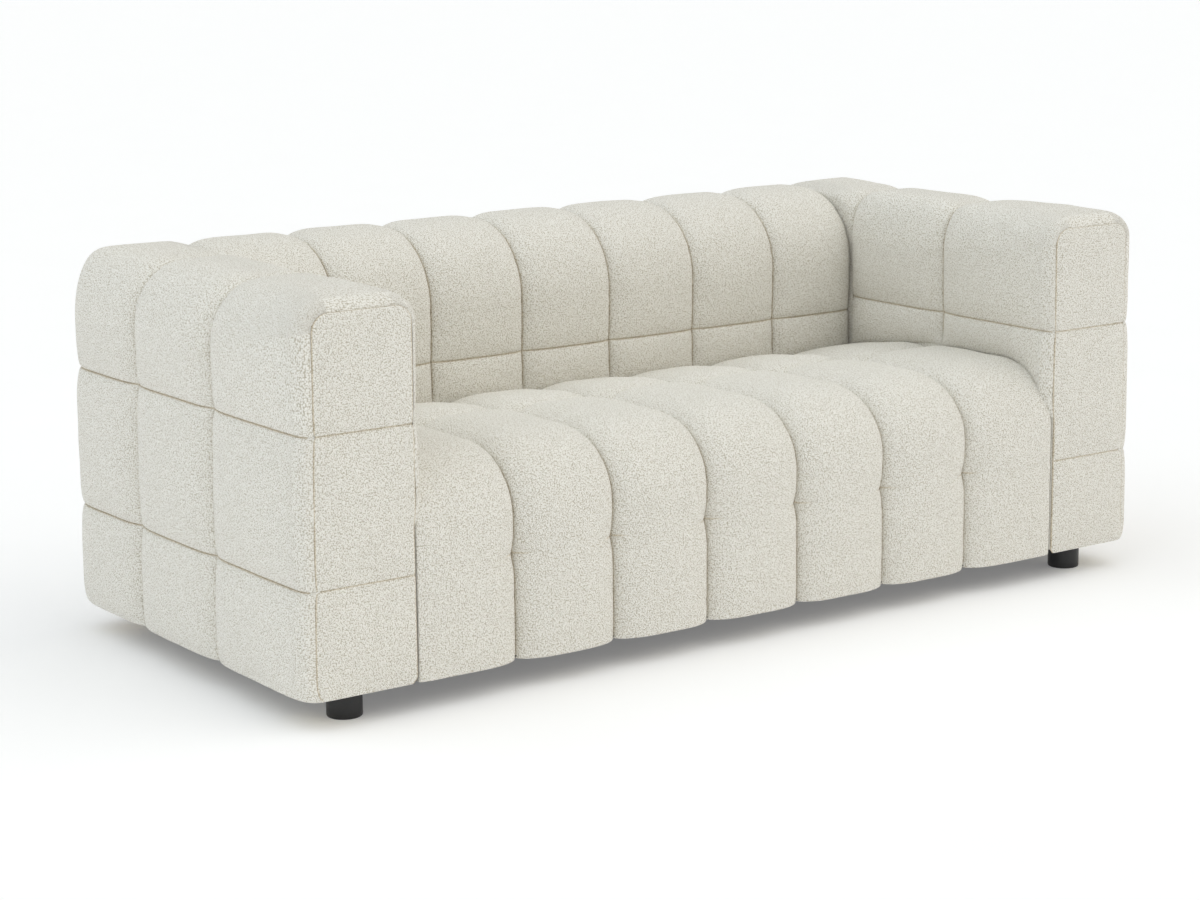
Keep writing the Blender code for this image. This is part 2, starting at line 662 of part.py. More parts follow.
def clip_strip(name, start, towards, material):
    """A folded steel strip on a rail, open towards the springs that it holds."""
    low = SEAT_RAIL_TOP + FIT
    lip, steel = start + towards * CLIP_STRIP, CLIP_STEEL
    outline = [
        (start, low), (lip, low), (lip, low + steel), (start + towards * steel, low + steel),
        (start + towards * steel, CLIP_TOP - steel), (lip, CLIP_TOP - steel), (lip, CLIP_TOP), (start, CLIP_TOP),
    ]
    return prism_along_x(name, outline, -SEAT_SIDE, SEAT_SIDE, material)


def spring(name, x, front, rear, material):
    """One zigzag spring from strip to strip: bars across, joined by half turns on alternate sides."""
    height = SEAT_RAIL_TOP + 2 * FIT + CLIP_STEEL + SPRING_WIRE / 2
    pitch = (rear - front) / SPRING_LOOPS
    route = []
    for k in range(SPRING_LOOPS + 1):
        way = 1 if k % 2 else -1
        y = front + k * pitch
        route.append((x - way * SPRING_SWING, y))
        if k == SPRING_LOOPS:
            route.append((x + way * SPRING_SWING, y))
            break
        for step in range(LOOP_STEPS):
            turn = math.pi * step / LOOP_STEPS
            bow = pitch / 2
            route.append((x + way * (SPRING_SWING + bow * math.sin(turn)), y + bow * (1 - math.cos(turn))))
    curve = bpy.data.curves.new(name, "CURVE")
    curve.dimensions = "3D"
    curve.bevel_depth = SPRING_WIRE / 2
    curve.bevel_resolution = 0
    curve.use_fill_caps = True
    spline = curve.splines.new("POLY")
    spline.points.add(len(route) - 1)
    for point, (across, y) in zip(spline.points, route):
        point.co = (across, y, height, 1)
    curve.materials.append(material)
    made = bpy.data.objects.new(name, curve)
    bpy.context.scene.collection.objects.link(made)
    return made


def seat_springs(finishes):
    """Clip strips on the front and rear rails, springs between them and the felt over all."""
    steel = finishes["steel"]
    front, rear = SEAT_FRAME_FRONT, SEAT_REAR
    clip_strip("front_clip_strip", front, 1, steel)
    clip_strip("rear_clip_strip", rear, -1, steel)
    hook = CLIP_STEEL + SPRING_WIRE / 2 + 2 * FIT
    pitch = 2 * SEAT_SIDE / SPRINGS
    for k in range(SPRINGS):
        spring(f"seat_spring_{k + 1}", -SEAT_SIDE + (k + 0.5) * pitch, front + hook, rear - hook, steel)
    low = (-SEAT_SIDE, front, CLIP_TOP + FIT)
    board("spring_felt", low, (SEAT_SIDE, rear, FELT_TOP), finishes["felt"])


def drill(target, name, centre):
    """Cuts a blind hole for a leg's stud into the underside of a rail."""
    shape = bmesh.new()
    length = 2 * STUD_LENGTH
    radius = STUD_DIAMETER / 2 + STUD_PLAY
    bmesh.ops.create_cone(
        shape, cap_ends=True, segments=LEG_SIDES, radius1=radius, radius2=radius, depth=length
    )
    cutter = place(name, shape, target.data.materials[0], centre)
    cutter.hide_render = True
    cutter.display_type = "WIRE"
    cut = target.modifiers.new(name, "BOOLEAN")
    cut.operation = "DIFFERENCE"
    cut.object = cutter


def make_legs(rails, finishes):
    """Round legs with moulded-in studs that screw into the arms' bottom rails."""
    top = FRAME_BASE - FIT
    stud, radius = STUD_DIAMETER / 2, LEG_DIAMETER / 2
    profile = [
        (0, top + STUD_LENGTH), (stud, top + STUD_LENGTH), (stud, top), (radius, top),
        (radius, LEG_EDGE), (radius - LEG_EDGE, 0), (0, 0),
    ]
    for side, word in ((LEFT, "left"), (RIGHT, "right")):
        for place_word, (x, y) in (("front", FRONT_LEG), ("rear", REAR_LEG)):
            turned(f"{place_word}_{word}_leg", profile, (side * x, y, 0), finishes["leg"])
            drill(rails[side], f"{place_word}_{word}_stud_hole", (side * x, y, top + STUD_PLAY))


def joining_plates(finishes):
    """Steel plates under the base that hold the arms to the seat and to the back."""
    steel = finishes["steel"]
    low, high = LEG_HEIGHT + FIT, FRAME_BASE - FIT
    outer, inner = INSIDE + PLATE_REACH, SEAT_SIDE - PLATE_GRIP
    seat_middle = (SEAT_FRAME_FRONT + SEAT_REAR) / 2
    for side, word in ((LEFT, "left"), (RIGHT, "right")):
        for place_word, y in (("seat", seat_middle - PLATE_WIDTH / 2), ("back", BACK_FRAME_FRONT)):
            start = (side * outer, y, low)
            end = (side * inner, y + PLATE_WIDTH, high)
            board(f"{word}_{place_word}_plate", start, end, steel)


def dust_sheet(material):
    """The sheet stapled under the base, with its corners cut out round the legs."""
    side, front, rear = WIDTH / 2 - DUST_SHEET_MARGIN, FRONT + DUST_SHEET_MARGIN, REAR - DUST_SHEET_MARGIN
    notch = LEG_DIAMETER / 2 + FIT
    front_x, front_y = FRONT_LEG[0] - notch, FRONT_LEG[1] + notch
    rear_x, rear_y = REAR_LEG[0] - notch, REAR_LEG[1] - notch
    half = [(front_x, front), (front_x, front_y), (side, front_y), (side, rear_y), (rear_x, rear_y), (rear_x, rear)]
    other = [(-x, y) for x, y in half[::-1]]
    shape = bmesh.new()
    top = [shape.verts.new((x, y, LEG_HEIGHT)) for x, y in half + other]
    face = shape.faces.new(top)
    grown = bmesh.ops.extrude_face_region(shape, geom=[face])
    moved = [part for part in grown["geom"] if isinstance(part, bmesh.types.BMVert)]
    bmesh.ops.translate(shape, vec=(0, 0, -DUST_SHEET), verts=moved)
    return place("dust_sheet", shape, material)


def main():
    clear_scene()
    finishes = make_finishes()
    rails = {LEFT: make_arm("left_arm", LEFT, finishes), RIGHT: make_arm("right_arm", RIGHT, finishes)}
    back_cover(finishes["fabric"])
    back_foam(finishes["foam"])
    back_frame(finishes)
    seat_cover(finishes["fabric"])
    seat_foam(finishes["foam"])
    seat_frame(finishes)
    seat_springs(finishes)
    make_legs(rails, finishes)
    joining_plates(finishes)
    dust_sheet(finishes["sheet"])


main()
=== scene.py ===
"""The two-seater sofa dressed for the studio: quilted covers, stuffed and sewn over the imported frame.

Metres, +Z up, in the frame's own place. -Y is the front of the sofa.
"""

import json
import math

import bmesh
import bpy
import numpy as np
from mathutils import Matrix, Vector


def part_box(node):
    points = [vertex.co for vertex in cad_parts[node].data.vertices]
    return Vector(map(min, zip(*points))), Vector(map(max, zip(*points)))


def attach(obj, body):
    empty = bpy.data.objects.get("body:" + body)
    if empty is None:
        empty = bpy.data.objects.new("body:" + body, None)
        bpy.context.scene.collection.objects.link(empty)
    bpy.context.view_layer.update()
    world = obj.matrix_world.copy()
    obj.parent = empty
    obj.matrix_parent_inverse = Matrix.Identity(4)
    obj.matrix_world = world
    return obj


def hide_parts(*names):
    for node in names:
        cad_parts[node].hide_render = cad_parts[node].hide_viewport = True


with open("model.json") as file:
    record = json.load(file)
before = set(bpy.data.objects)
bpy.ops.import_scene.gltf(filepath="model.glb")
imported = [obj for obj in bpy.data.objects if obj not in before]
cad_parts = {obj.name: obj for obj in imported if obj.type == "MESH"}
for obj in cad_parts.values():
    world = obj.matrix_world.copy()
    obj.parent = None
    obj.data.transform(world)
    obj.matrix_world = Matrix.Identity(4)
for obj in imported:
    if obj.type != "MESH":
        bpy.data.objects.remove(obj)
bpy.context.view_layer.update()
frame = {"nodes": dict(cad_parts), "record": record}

# Seams: heights over the floor, and lengths along the cover
LOWER_SEAM = 0.233
UPPER_SEAM = 0.483
BACK_SEAM = 0.454
ARM_MIDDLE_BLOCK = 0.275
CORNER_SEAM_LEAD = 0.007
SEAT_REAR_BLOCK = 0.246
CHANNELS = 7

# Which stops of the rows are seams. The arm's rows lead up its outer side and over its top, to the inner
# edge, to a seam on the inner side and to the line where the seat hides them. Beside the back they end at the
# inner edge
INNER_EDGE, INNER_SEAM, ARM_SEAT_LINE = 6, 7, 8
ARM_ROW_SEAMS = (0, 1, 2, INNER_EDGE, INNER_SEAM, ARM_SEAT_LINE)
SEEN_ROW_SEAMS = (0, 1, 2, INNER_SEAM, ARM_SEAT_LINE)
CORNER_ROW_SEAMS = (0, 1, 2, INNER_EDGE)
PANEL_ROW_SEAMS = (0, 1, 2, 4)
BACK_ROW_SEAMS = (0, 1, 2, 7, 8)
SEAT_ROW_SEAMS = (0, 1, 4, 5)

# Sides and ends of the sofa, with the way to each
SIDES = (("left", -1), ("right", 1))
ENDS = (("front", -1), ("rear", 1))

# Crowns of the stuffed blocks over their seams, and the length from which a block has its whole crown
ARM_PUFF = 0.020
PANEL_PUFF = 0.012
BACK_PUFF = 0.020
SEAT_PUFF = 0.028
FULL_BLOCK = 0.150

# Shares of the crown: lost on top, and kept along the seams, at loose ends and round the front panels
TOP_FLATNESS = 0.35
SIDE_SEAM_RISE = 0.14
CROSS_SEAM_RISE = 0.32
REAR_TUFT_RISE = 0.20
FRONT_TUFT_RISE = 0.95
END_RISE = 0.75
LIP_RISE = 0.28

# Form of the blocks: the pillow's power, the share that is a dome, and how soon a seam fades out of sight
PILLOW_POWER = 3
COLUMN_DOME = 0.50
SEAT_DOME = 0.60
ROW_DOME = 0.65
PUFF_FADE = 0.030

# How far thread pulls in the cloth beside the seams and the tufts, and how wide a tuft's dent is
SEAM_SINK = 0.007
SEAT_SINK = 0.008
REAR_TUFT_DENT = 0.016
FRONT_TUFT_DENT = 0.006
TUFT_DENT_ACROSS = 0.032
TUFT_DENT_ALONG = 0.020

# Walls of the blocks: how far from a seam the cloth has come up to its full height
FRONT_LIP = 0.065
REAR_LIP = 0.060
ARM_WALL = 0.060
ROW_WALL = 0.050
CHANNEL_WALL = 0.050
SEAT_WALL = 0.072
END_WALL = 0.030
TUFT_WALL = 0.055
TUCK_WALL = 0.025
PANEL_WALL = 0.012
PANEL_ROW_WALL = 0.022

# The arms lean out towards the floor, and the seat falls towards the rear
ARM_FLARE = 0.010
SEAT_FALL = 0.035

# Where the covers end: panels stand a little out of the arm's ends and are set into their rolled edges, by a
# share of that on the inner side, hems hang below the frame, and edges tuck in beside and behind the seat
PANEL_RIM = 0.008
PANEL_INSET = 0.013
REAR_INSET = 0.014
INNER_INSET = 0.2
ARM_HEM_DROP = 0.005
SEAT_HEM_DROP = 0.005
TUCK_PLAY = 0.002
ARM_TUCK = END_RISE * SEAT_PUFF + TUCK_PLAY
BACK_TUCK = 0.025
BACK_PRESS = 0.008

# Roundings of the covers: across the arm and down its side, in and up at its lower corners, or one radius
END_ROUND = 0.040
END_ROLL = 0.030
REAR_ROLL = 0.060
ARM_OUTER_ACROSS = 0.085
ARM_OUTER_DOWN = 0.100
ARM_REAR_ACROSS = 0.048
ARM_REAR_DOWN = 0.125
ARM_INNER_ACROSS = 0.046
ARM_INNER_DOWN = 0.085
PANEL_CORNER = 0.008
HEM_CORNER_IN = 0.0115
HEM_CORNER_UP = 0.032
BACK_ROLL = 0.130
BACK_REAR_ROUND = 0.060
SEAT_ROLL_BACK = 0.110
SEAT_ROLL_DOWN = 0.100
SEAT_BEND = 0.020
LEAST_ROUND = 0.004

# The cover's wall, and the play round foam and legs
COVER = 0.012
PLAY = 0.0003

# Sewing: the furrow that thread pulls into the cloth, the seam round the panels, and how much thread colour
# and painted furrow shade shows
FURROW = 0.0016
FURROW_WIDTH = 0.0028
PANEL_FURROW = 0.9
RIM_WIDTH = 0.0038
LIP_SEAM = 0.0032
SEAM_THREAD_AND_SHADE = 0.7
TUFT_CREASE = 0.040

# Creases gathered along the seams, from a few waves whose tops are kept
GATHER = 0.0012
GATHER_REACH = 0.014
GATHER_SPACING = (0.022, 0.070)
GATHER_WAVES = 5
GATHER_LEVEL = 0.2
GATHER_SEED = 100

# Hand stuffing: how much the blocks differ, and low lumps from a few waves
BLOCK_VARIETY = 0.10
BLOCK_SEED = 7
LUMPS = 0.0009
LUMP_SPACING = 0.085
LUMP_RANGE = (0.7, 1.8)
LUMP_WAVES = 9
LUMP_SEED = 11

# Swelling of the wadding: the furrow from which cloth is held, its weight and stiffness, the pressure on it,
# and the most that it moves
HELD_FURROW = 0.8
CLOTH_WEIGHT = 0.3
STRETCH_STIFFNESS = 25
SHEAR_STIFFNESS = 10
BEND_STIFFNESS = 2
CLOTH_QUALITY = 5
PRESSURE = 4.0
SWELL_FRAMES = 20
MOST_SWELL = 0.008
LEAST_MOVE = 1e-9

# Cells of the cloth, while it swells and when it is finished, and the angle up to which it is smooth
SWELL_STEP = 0.012
SWELL_CLOSENESS = 0.5
CLOTH_STEP = 0.0054
CLOTH_CLOSENESS = 0.85
CLOTH_SMOOTH = 50
LINING_STEPS = 10
CORNER_POINTS = 60
SLOPE_REACH = 0.002

# Places from the frame: the foam lies one cover's wall inside the seams
LINING = COVER + PLAY
ARM_FOAM_LOW, ARM_FOAM_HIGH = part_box("left_arm_foam")
BACK_FOAM_LOW, BACK_FOAM_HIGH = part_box("back_foam")
SEAT_FOAM_LOW, SEAT_FOAM_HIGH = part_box("seat_foam")
ARM_COVER_LOW, ARM_COVER_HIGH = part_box("left_arm_cover")
ARM_OUTSIDE = ARM_FOAM_LOW.x - LINING + ARM_FLARE
ARM_INSIDE = ARM_FOAM_HIGH.x + LINING
TOP = ARM_FOAM_HIGH.z + LINING
FRONT, REAR = ARM_COVER_LOW.y - PANEL_RIM, ARM_COVER_HIGH.y + PANEL_RIM
BASE = ARM_COVER_LOW.z
ARM_BASE = BASE - ARM_HEM_DROP
FRAME_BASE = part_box("left_arm_bottom_rail")[0].z
BACK_FACE = BACK_FOAM_LOW.y - LINING
BACK_OUTSIDE = BACK_FOAM_HIGH.y + LINING
SEAT_FRONT = SEAT_FOAM_LOW.y - LINING
SEAT_REAR = SEAT_FOAM_HIGH.y
SEAT_TOP = SEAT_FOAM_HIGH.z + LINING
SEAT_SIDE = SEAT_FOAM_HIGH.x
SEAT_LINE = SEAT_TOP + SEAT_PUFF
SEAT_REAR_LINE = SEAT_LINE - SEAT_FALL
ARM_REAR_SEAM = BACK_FACE - CORNER_SEAM_LEAD
ARM_FRONT_SEAM = ARM_REAR_SEAM - ARM_MIDDLE_BLOCK
PANEL_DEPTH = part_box("left_arm_front_panel")[1].y - FRONT
PANEL_CROWN = PANEL_PUFF - PANEL_RIM
ARM_REACHES = (FRONT_LIP, ARM_WALL, ARM_WALL, REAR_LIP)

# Legs, and the stud moulded into each
LEG_RADIUS = 0.030
LEG_SIDES = 96
LEG_FOOT_EDGE = 0.003
LEG_TOP_EDGE = 0.001
LEG_FOOT_STEPS = 5
LEG_TOP_STEPS = 3
STUD_RADIUS = 0.004
STUD_LENGTH = 0.028
STUD_STEPS = 2
LEVEL_FACE = 0.9
RIM_PLAY = 0.0001

# Inside: worn edges of the foam, round wire of the springs, and how the dust sheet sags between the rails
FOAM_EDGE = 0.002
FOAM_STEPS = 2
FOAM_CORNER = 60
FOAM_MERGE = 0.00001
FLAT_ANGLE = 1
STRAP_EDGE = 0.0006
FELT_EDGE = 0.0015
STRIP_STEPS = 3
SPRING_WIRE = 0.004
SPRING_LOOPS = 7
SPRING_SIDES = 10
LOOP_STEPS = 14
WIRE_MERGE = 0.000001
WIRE_SMOOTH = 60
PART_SMOOTH = 30
SHEET_CELL = 0.020
SHEET_SAG = 0.004
SHEET_RIPPLE = 0.0008
RIPPLE_WAVES = ((41, 23), (17, -37))
STRAPS = 3
SPRINGS = 6

# The fabric: loops to the metre, how unevenly they lie, how they curl, and their height. Noise is given as
# its scale, detail and roughness
LOOPS = 410.0
LOOP_UNEVENNESS = 0.85
LOOP_VARIETY = 0.30
LOOP_HEIGHT = 0.0010
LOOP_STRENGTH = 1.0
LOOP_ROUGHNESS = 0.95
LOOP_SHEEN = {"Sheen_Weight": 0.15, "Sheen_Roughness": 0.5, "Specular_IOR_Level": 0.1}
CURLS, CURL_DETAIL = 260.0, 1.0
CURL = 0.0012
FIBRES = (1300.0, 2.0, 0.6)
FIBRE_SHARE = 0.30

# Its colours, from the top of a loop to the painted shade of the hollow beside it, and from bare cloth to the
# tightest thread, where thread colour is darkened by painted shade of the seam's furrow
LOOP_TONES_AND_HOLLOW_SHADE = ((0.32, (0.98, 0.965, 0.91)), (0.68, (0.86, 0.842, 0.777)), (1.0, (0.56, 0.52, 0.43)))
THREAD_AND_FURROW_SHADE_TONES = ((0.385, (1.0, 1.0, 1.0)), (0.7, (0.84, 0.77, 0.66)), (1.0, (0.46, 0.39, 0.31)))

# Pine: noise of its growth rings and fibres, how far they are drawn out along the piece, and its colours
PINE_RINGS = (75.0, 2.0, 0.5)
PINE_FIBRES = (900.0, 3.0, 0.6)
PINE_FIBRE_SHARE = 0.25
PINE_ROUGHNESS = 0.55
GRAIN_DRAW = 0.05
GRAIN_HEIGHT = 0.0003
GRAIN_STRENGTH = 0.5
PINE_TONES = ((0.42, (0.47, 0.27, 0.12)), (0.58, (0.62, 0.41, 0.21)), (0.80, (0.72, 0.52, 0.30)))

# Mottled finishes: dark and light colour, scale of the spots, roughness and the height of the spots
MOTTLED = {
    "hardboard": ((0.13, 0.075, 0.045), (0.23, 0.14, 0.085), 260.0, 0.70, 0.0002),
    "bright_steel": ((0.48, 0.48, 0.49), (0.62, 0.62, 0.63), 420.0, 0.35, 0.00004),
    "black_leg": ((0.010, 0.010, 0.011), (0.018, 0.018, 0.019), 700.0, 0.42, 0.0001),
    "upholstery_foam": ((0.74, 0.66, 0.40), (0.84, 0.77, 0.52), 900.0, 0.95, 0.0006),
    "needled_felt": ((0.09, 0.09, 0.09), (0.24, 0.24, 0.235), 650.0, 0.98, 0.0008),
    "elastic_webbing": ((0.010, 0.010, 0.010), (0.035, 0.035, 0.035), 900.0, 0.75, 0.0003),
    "spunbonded_sheet": ((0.006, 0.006, 0.006), (0.02, 0.02, 0.02), 500.0, 0.9, 0.0003),
}
MOTTLE_DETAIL, MOTTLE_ROUGHNESS = 4.0, 0.6
MOTTLE_DARK, MOTTLE_LIGHT = 0.3, 0.7
MOTTLE_STRENGTH = 0.6
WEBBING_DRAW = (0.1, 1, 1)

# The photograph's view: where it stands, its turn, tilt and roll in degrees, and its focal length in pixels
EYE = (-2.9988, -4.1482, 1.3555)
TURN, TILT, ROLL = 35.4029, 11.8764, -0.5233
FOCAL_PIXELS = 2784.0
PHOTO_WIDTH = 1200
SENSOR = 36.0

# Soft lights: the way to each, how wide it spreads in degrees, its power and its colour
LIGHTS = {
    "left_window": ((-0.75, 0.32, 0.62), 90, 0.87, (0.87, 0.945, 1.0)),
    "front_window": ((0.55, -0.52, 0.70), 70, 0.88, (1.0, 0.955, 0.87)),
    "ceiling": ((-0.05, -0.10, 1.0), 110, 1.38, (0.95, 0.98, 1.0)),
}
LIGHT_DISTANCE = 4

# Light from all round: the sine of the height over the horizon, and the colour there
HORIZON = ((0.05, (1.0, 1.0, 1.0)), (0.13, (0.20, 0.198, 0.194)))

# The floor: its size, the noise of its faint clouds, their colours, and how strongly it is lit from below
FLOOR_SIZE = 160
FLOOR_CLOUDS = (3.0, 2.0, 0.5)
FLOOR_ROUGHNESS = 0.9
FLOOR_TONES = ((0.3, (0.86, 0.86, 0.86)), (0.7, (0.87, 0.87, 0.87)))
FLOOR_GLOW = 0.17

# How full each block is stuffed is drawn in the order in which the covers are laid out
draw = np.random.default_rng(BLOCK_SEED)


# Lines and roundings


def pillow(t):
    """Height of a stuffed block over its seams, 0 at both seams and 1 in the middle."""
    return np.sqrt(np.maximum(1 - np.abs(2 * t - 1) ** PILLOW_POWER, 0))


def wall(distance, reach):
    """Height of the cloth beside a seam: a quarter of an ellipse, 0 at the seam and 1 from the reach on."""
    return np.sqrt(1 - (1 - np.clip(distance / reach, 0, 1)) ** 2)


def pillows(places, seams, reaches, dome):
    """Height of the blocks between these seams, and 0 beyond them. A short block puffs less."""
    height = np.zeros(len(places))
    for low, high, reach, next_reach in zip(seams, seams[1:], reaches, reaches[1:]):
        inside = (places >= low) & (places <= high)
        before, after = places[inside] - low, high - places[inside]
        walls = wall(before, reach) * wall(after, next_reach)
        crowned = (1 - dome) * walls + dome * pillow(before / (high - low))
        height[inside] = np.maximum(height[inside], min((high - low) / FULL_BLOCK, 1) * crowned)
    return height


def nearest(places, seams):
    """How far each place is from its nearest seam, and a number for that side of that seam."""
    offsets = np.subtract.outer(places, np.array(seams))
    closest = np.abs(offsets).argmin(axis=1)
    offset = offsets[np.arange(len(places)), closest]
    return np.abs(offset), 2 * closest + (offset > 0)


def gathers(gaps, sides, places):
    """Short creases that run from a seam into the cloth on each side of it, between 0 and about 1."""
    creases = np.zeros((len(gaps), len(places)))
    for side in np.unique(sides):
        rng = np.random.default_rng(GATHER_SEED + side)
        wave = np.zeros(len(places))
        for _ in range(GATHER_WAVES):
            wave += np.sin(2 * math.pi * (places / rng.uniform(*GATHER_SPACING) + rng.uniform()))
        creases[sides == side] = np.maximum(2 * wave / GATHER_WAVES - GATHER_LEVEL, 0)
    return creases * np.exp(-gaps / GATHER_REACH)[:, None]


def flatter_on_top(normals):
    """Share of the crown that is left where the cover lies level on top."""
    return 1 - TOP_FLATNESS * np.maximum(normals[:, 1], 0) ** 2


def furrows(places, seams):
    """Share of a seam's furrow at these places, 1 on each seam."""
    return np.exp(-((nearest(places, seams)[0] / FURROW_WIDTH) ** 2))


def graded(cells, seam_before, seam_after, closeness):
    """Fractions from 0 to 1 that lie closer together near the seams."""
    even = np.arange(cells + 1) / cells
    if seam_before and seam_after:
        curved = (1 - np.cos(np.pi * even)) / 2
    elif seam_before:
        curved = 1 - np.cos(np.pi / 2 * even)
    elif seam_after:
        curved = np.sin(np.pi / 2 * even)
    else:
        curved = even
    return even + (curved - even) * closeness


def lay_out(stops, seams, step, closeness):
    """Lines between the stops, each given as the number of its stop and the fraction to the next."""
    lines = [0.0]
    for k, (low, high) in enumerate(zip(stops, stops[1:])):
        cells = max(2, round(abs(high - low) / step))
        lines += list(k + graded(cells, k in seams, k + 1 in seams, closeness)[1:])
    return np.array(lines)


def at_stops(lines, stops):
    """Lengths of lines that are given by the numbers of their stops."""
    return np.interp(lines, np.arange(len(stops)), stops)


def rounded_path(corners):
    """A line through corner points, rounded by quarter ellipses: each corner is (point, before, after)."""
    points = [np.array(corners[0][0])]
    for (last, _, _), (corner, before, after), (following, _, _) in zip(corners, corners[1:], corners[2:]):
        corner = np.array(corner)
        back = (np.array(last) - corner) / np.linalg.norm(np.array(last) - corner)
        ahead = (np.array(following) - corner) / np.linalg.norm(np.array(following) - corner)
        for k in range(CORNER_POINTS + 1):
            turn = math.pi / 2 * k / CORNER_POINTS
            still, gone = 1 - math.sin(turn), 1 - math.cos(turn)
            points.append(corner + back * before * still + ahead * after * gone)
    points.append(np.array(corners[-1][0]))
    points = np.array(points)
    steps = np.linalg.norm(np.diff(points, axis=0), axis=1)
    return points, np.concatenate([[0], np.cumsum(steps)])


def turn_marks(path):
    """Lengths along a profile where each of its two roundings starts and ends."""
    starts = (1, CORNER_POINTS + 2)
    return [path[1][place] for start in starts for place in (start, start + CORNER_POINTS)]


def along(path, places):
    """Points of a path at these lengths, and the directions that point out to its left."""
    points, lengths = path

    def point_at(some_lengths):
        return np.stack([np.interp(some_lengths, lengths, points[:, k]) for k in (0, 1)], axis=1)

    reach = lengths[-1] * SLOPE_REACH
    run = point_at(np.minimum(places + reach, lengths[-1])) - point_at(np.maximum(places - reach, 0))
    normals = np.stack([-run[:, 1], run[:, 0]], axis=1)
    return point_at(places), normals / np.linalg.norm(normals, axis=1, keepdims=True)


def spread(fine, coarse):
    """Weights that carry values from coarse lines to fine lines along smooth curves."""
    last = len(coarse) - 1
    place = np.interp(fine, coarse, np.arange(last + 1))
    start = np.minimum(place.astype(int), last - 1)
    t = place - start
    shares = (
        -t * (1 - t) ** 2 / 2,
        1 + t * t * (3 * t - 5) / 2,
        t * (1 + t * (4 - 3 * t)) / 2,
        t * t * (t - 1) / 2,
    )
    weights = np.zeros((len(fine), last + 1))
    for offset, share in enumerate(shares, -1):
        np.add.at(weights, (np.arange(len(fine)), np.clip(start + offset, 0, last)), share)
    return weights


def unevenness(points):
    """Low lumps of hand stuffing over a grid of points, from a few crossing waves, between about -1 and 1."""
    rng = np.random.default_rng(LUMP_SEED)
    height = np.zeros(points.shape[:2])
    for _ in range(LUMP_WAVES):
        way = rng.normal(size=3)
        way *= 2 * math.pi / (LUMP_SPACING * rng.uniform(*LUMP_RANGE) * np.linalg.norm(way))
        height += np.sin(points @ way + rng.uniform(0, 2 * math.pi))
    return height / math.sqrt(LUMP_WAVES)


def back_profile(inset):
    """The back cut from rear to front, as (forward, height): up outside, over the top, down inside."""
    round_rear = max(BACK_REAR_ROUND - inset, LEAST_ROUND)
    roll = max(BACK_ROLL - inset, LEAST_ROUND)
    return rounded_path([
        ((-BACK_OUTSIDE + inset, BASE), 0, 0),
        ((-BACK_OUTSIDE + inset, TOP - inset), round_rear, round_rear),
        ((-BACK_FACE - inset, TOP - inset), roll, roll),
        ((-BACK_FACE - inset, FRAME_BASE), 0, 0),
    ])


def seat_profile(inset):
    """The seat cut from rear to front, as (forward, height): up to the tufts, along, over the roll, down."""
    front, top = -SEAT_FRONT - inset, SEAT_TOP - inset
    return rounded_path([
        ((-SEAT_REAR, top - SEAT_FALL), 0, 0),
        ((SEAT_REAR_BLOCK - SEAT_REAR, top), SEAT_BEND, SEAT_BEND),
        ((front, top), SEAT_ROLL_BACK - inset, SEAT_ROLL_DOWN - inset),
        ((front, BASE - SEAT_HEM_DROP), 0, 0),
    ])


SEAT_RUN = seat_profile(0)[0][:-1].T


# Covers: each is a grid of columns and rows over a plain base, with its outward directions


class Cover:
    """A quilted cover: where its lines run, and how far each point stands out.

    Each kind has its own surface: base points, outward directions, shares of the crown, furrows and creases.
    """

    def __init__(self, name, crown, column_stops, column_seams, row_stops, row_seams):
        self.name = name
        self.crown = crown
        self.column_stops, self.row_stops = column_stops, row_stops
        self.seam_numbers = (sorted(column_seams), sorted(row_seams))
        blocks = (len(column_seams) + 1, len(row_seams) + 1)
        self.variety = 1 + BLOCK_VARIETY * draw.uniform(-1, 1, blocks)

    def lines(self, step, closeness):
        """Columns and rows of lines, about a step apart and closer to each other near the seams."""
        layouts = zip((self.column_stops, self.row_stops), self.seam_numbers)
        return [lay_out(stops, seams, step, closeness) for stops, seams in layouts]

    def row_seams(self):
        """Lengths along the rows where their seams run."""
        return [self.row_stops[k] for k in self.seam_numbers[1]]

    def fullness(self, columns, rows):
        """Each block's own fullness at every crossing of the lines."""
        column_block = np.searchsorted(self.seam_numbers[0], columns, side="right")
        row_block = np.searchsorted(self.seam_numbers[1], rows, side="right")
        return self.variety[np.ix_(column_block, row_block)]

    def skin(self, columns, rows, sewn):
        """The cover's outside. Before it is sewn it has no furrows, creases or lumps."""
        base, outward, share, seams, creases = self.surface(columns, rows)
        height = self.crown * share
        if sewn:
            height = height - FURROW * (seams + GATHER / FURROW * creases)
            height = height + LUMPS * unevenness(base) * share
        return self.kept_in(base + outward * height[..., None])

    def held(self, columns, rows):
        """Where the sewing and the frame hold the cloth while it swells."""
        seams = self.surface(columns, rows)[3]
        held = (seams > HELD_FURROW) | self.hidden(columns, rows)
        held[[0, -1], :] = True
        held[:, [0, -1]] = True
        return held

    def kept_in(self, points):
        """The points, moved where something would be in their way."""
        return points

    def hidden(self, columns, rows):
        """Where the cover lies out of sight, against the frame."""
        return np.zeros((len(columns), len(rows)), bool)

    def thread_and_shade(self, columns, rows):
        """How much thread colour and painted shade of the seam's furrow shows, from 0 to 1."""
        return SEAM_THREAD_AND_SHADE * self.surface(columns, rows)[3]


def puffs(across, up, tied, side_rise, cross_rise, fullness):
    """Share of the crown over a grid of blocks. The seams rise a little too, between their crossings."""
    both = across * up
    return (1 - side_rise - cross_rise) * both * fullness + side_rise * up + cross_rise * across * tied


def tuft_dents(gaps, places, tufts):
    """Dents where thread pulls the cloth in, at the crossings of the channels and the rows of tufts."""
    along_channel = np.exp(-((nearest(places, tufts)[0] / TUFT_DENT_ALONG) ** 2))
    return np.exp(-((gaps / TUFT_DENT_ACROSS) ** 2))[:, None] * along_channel


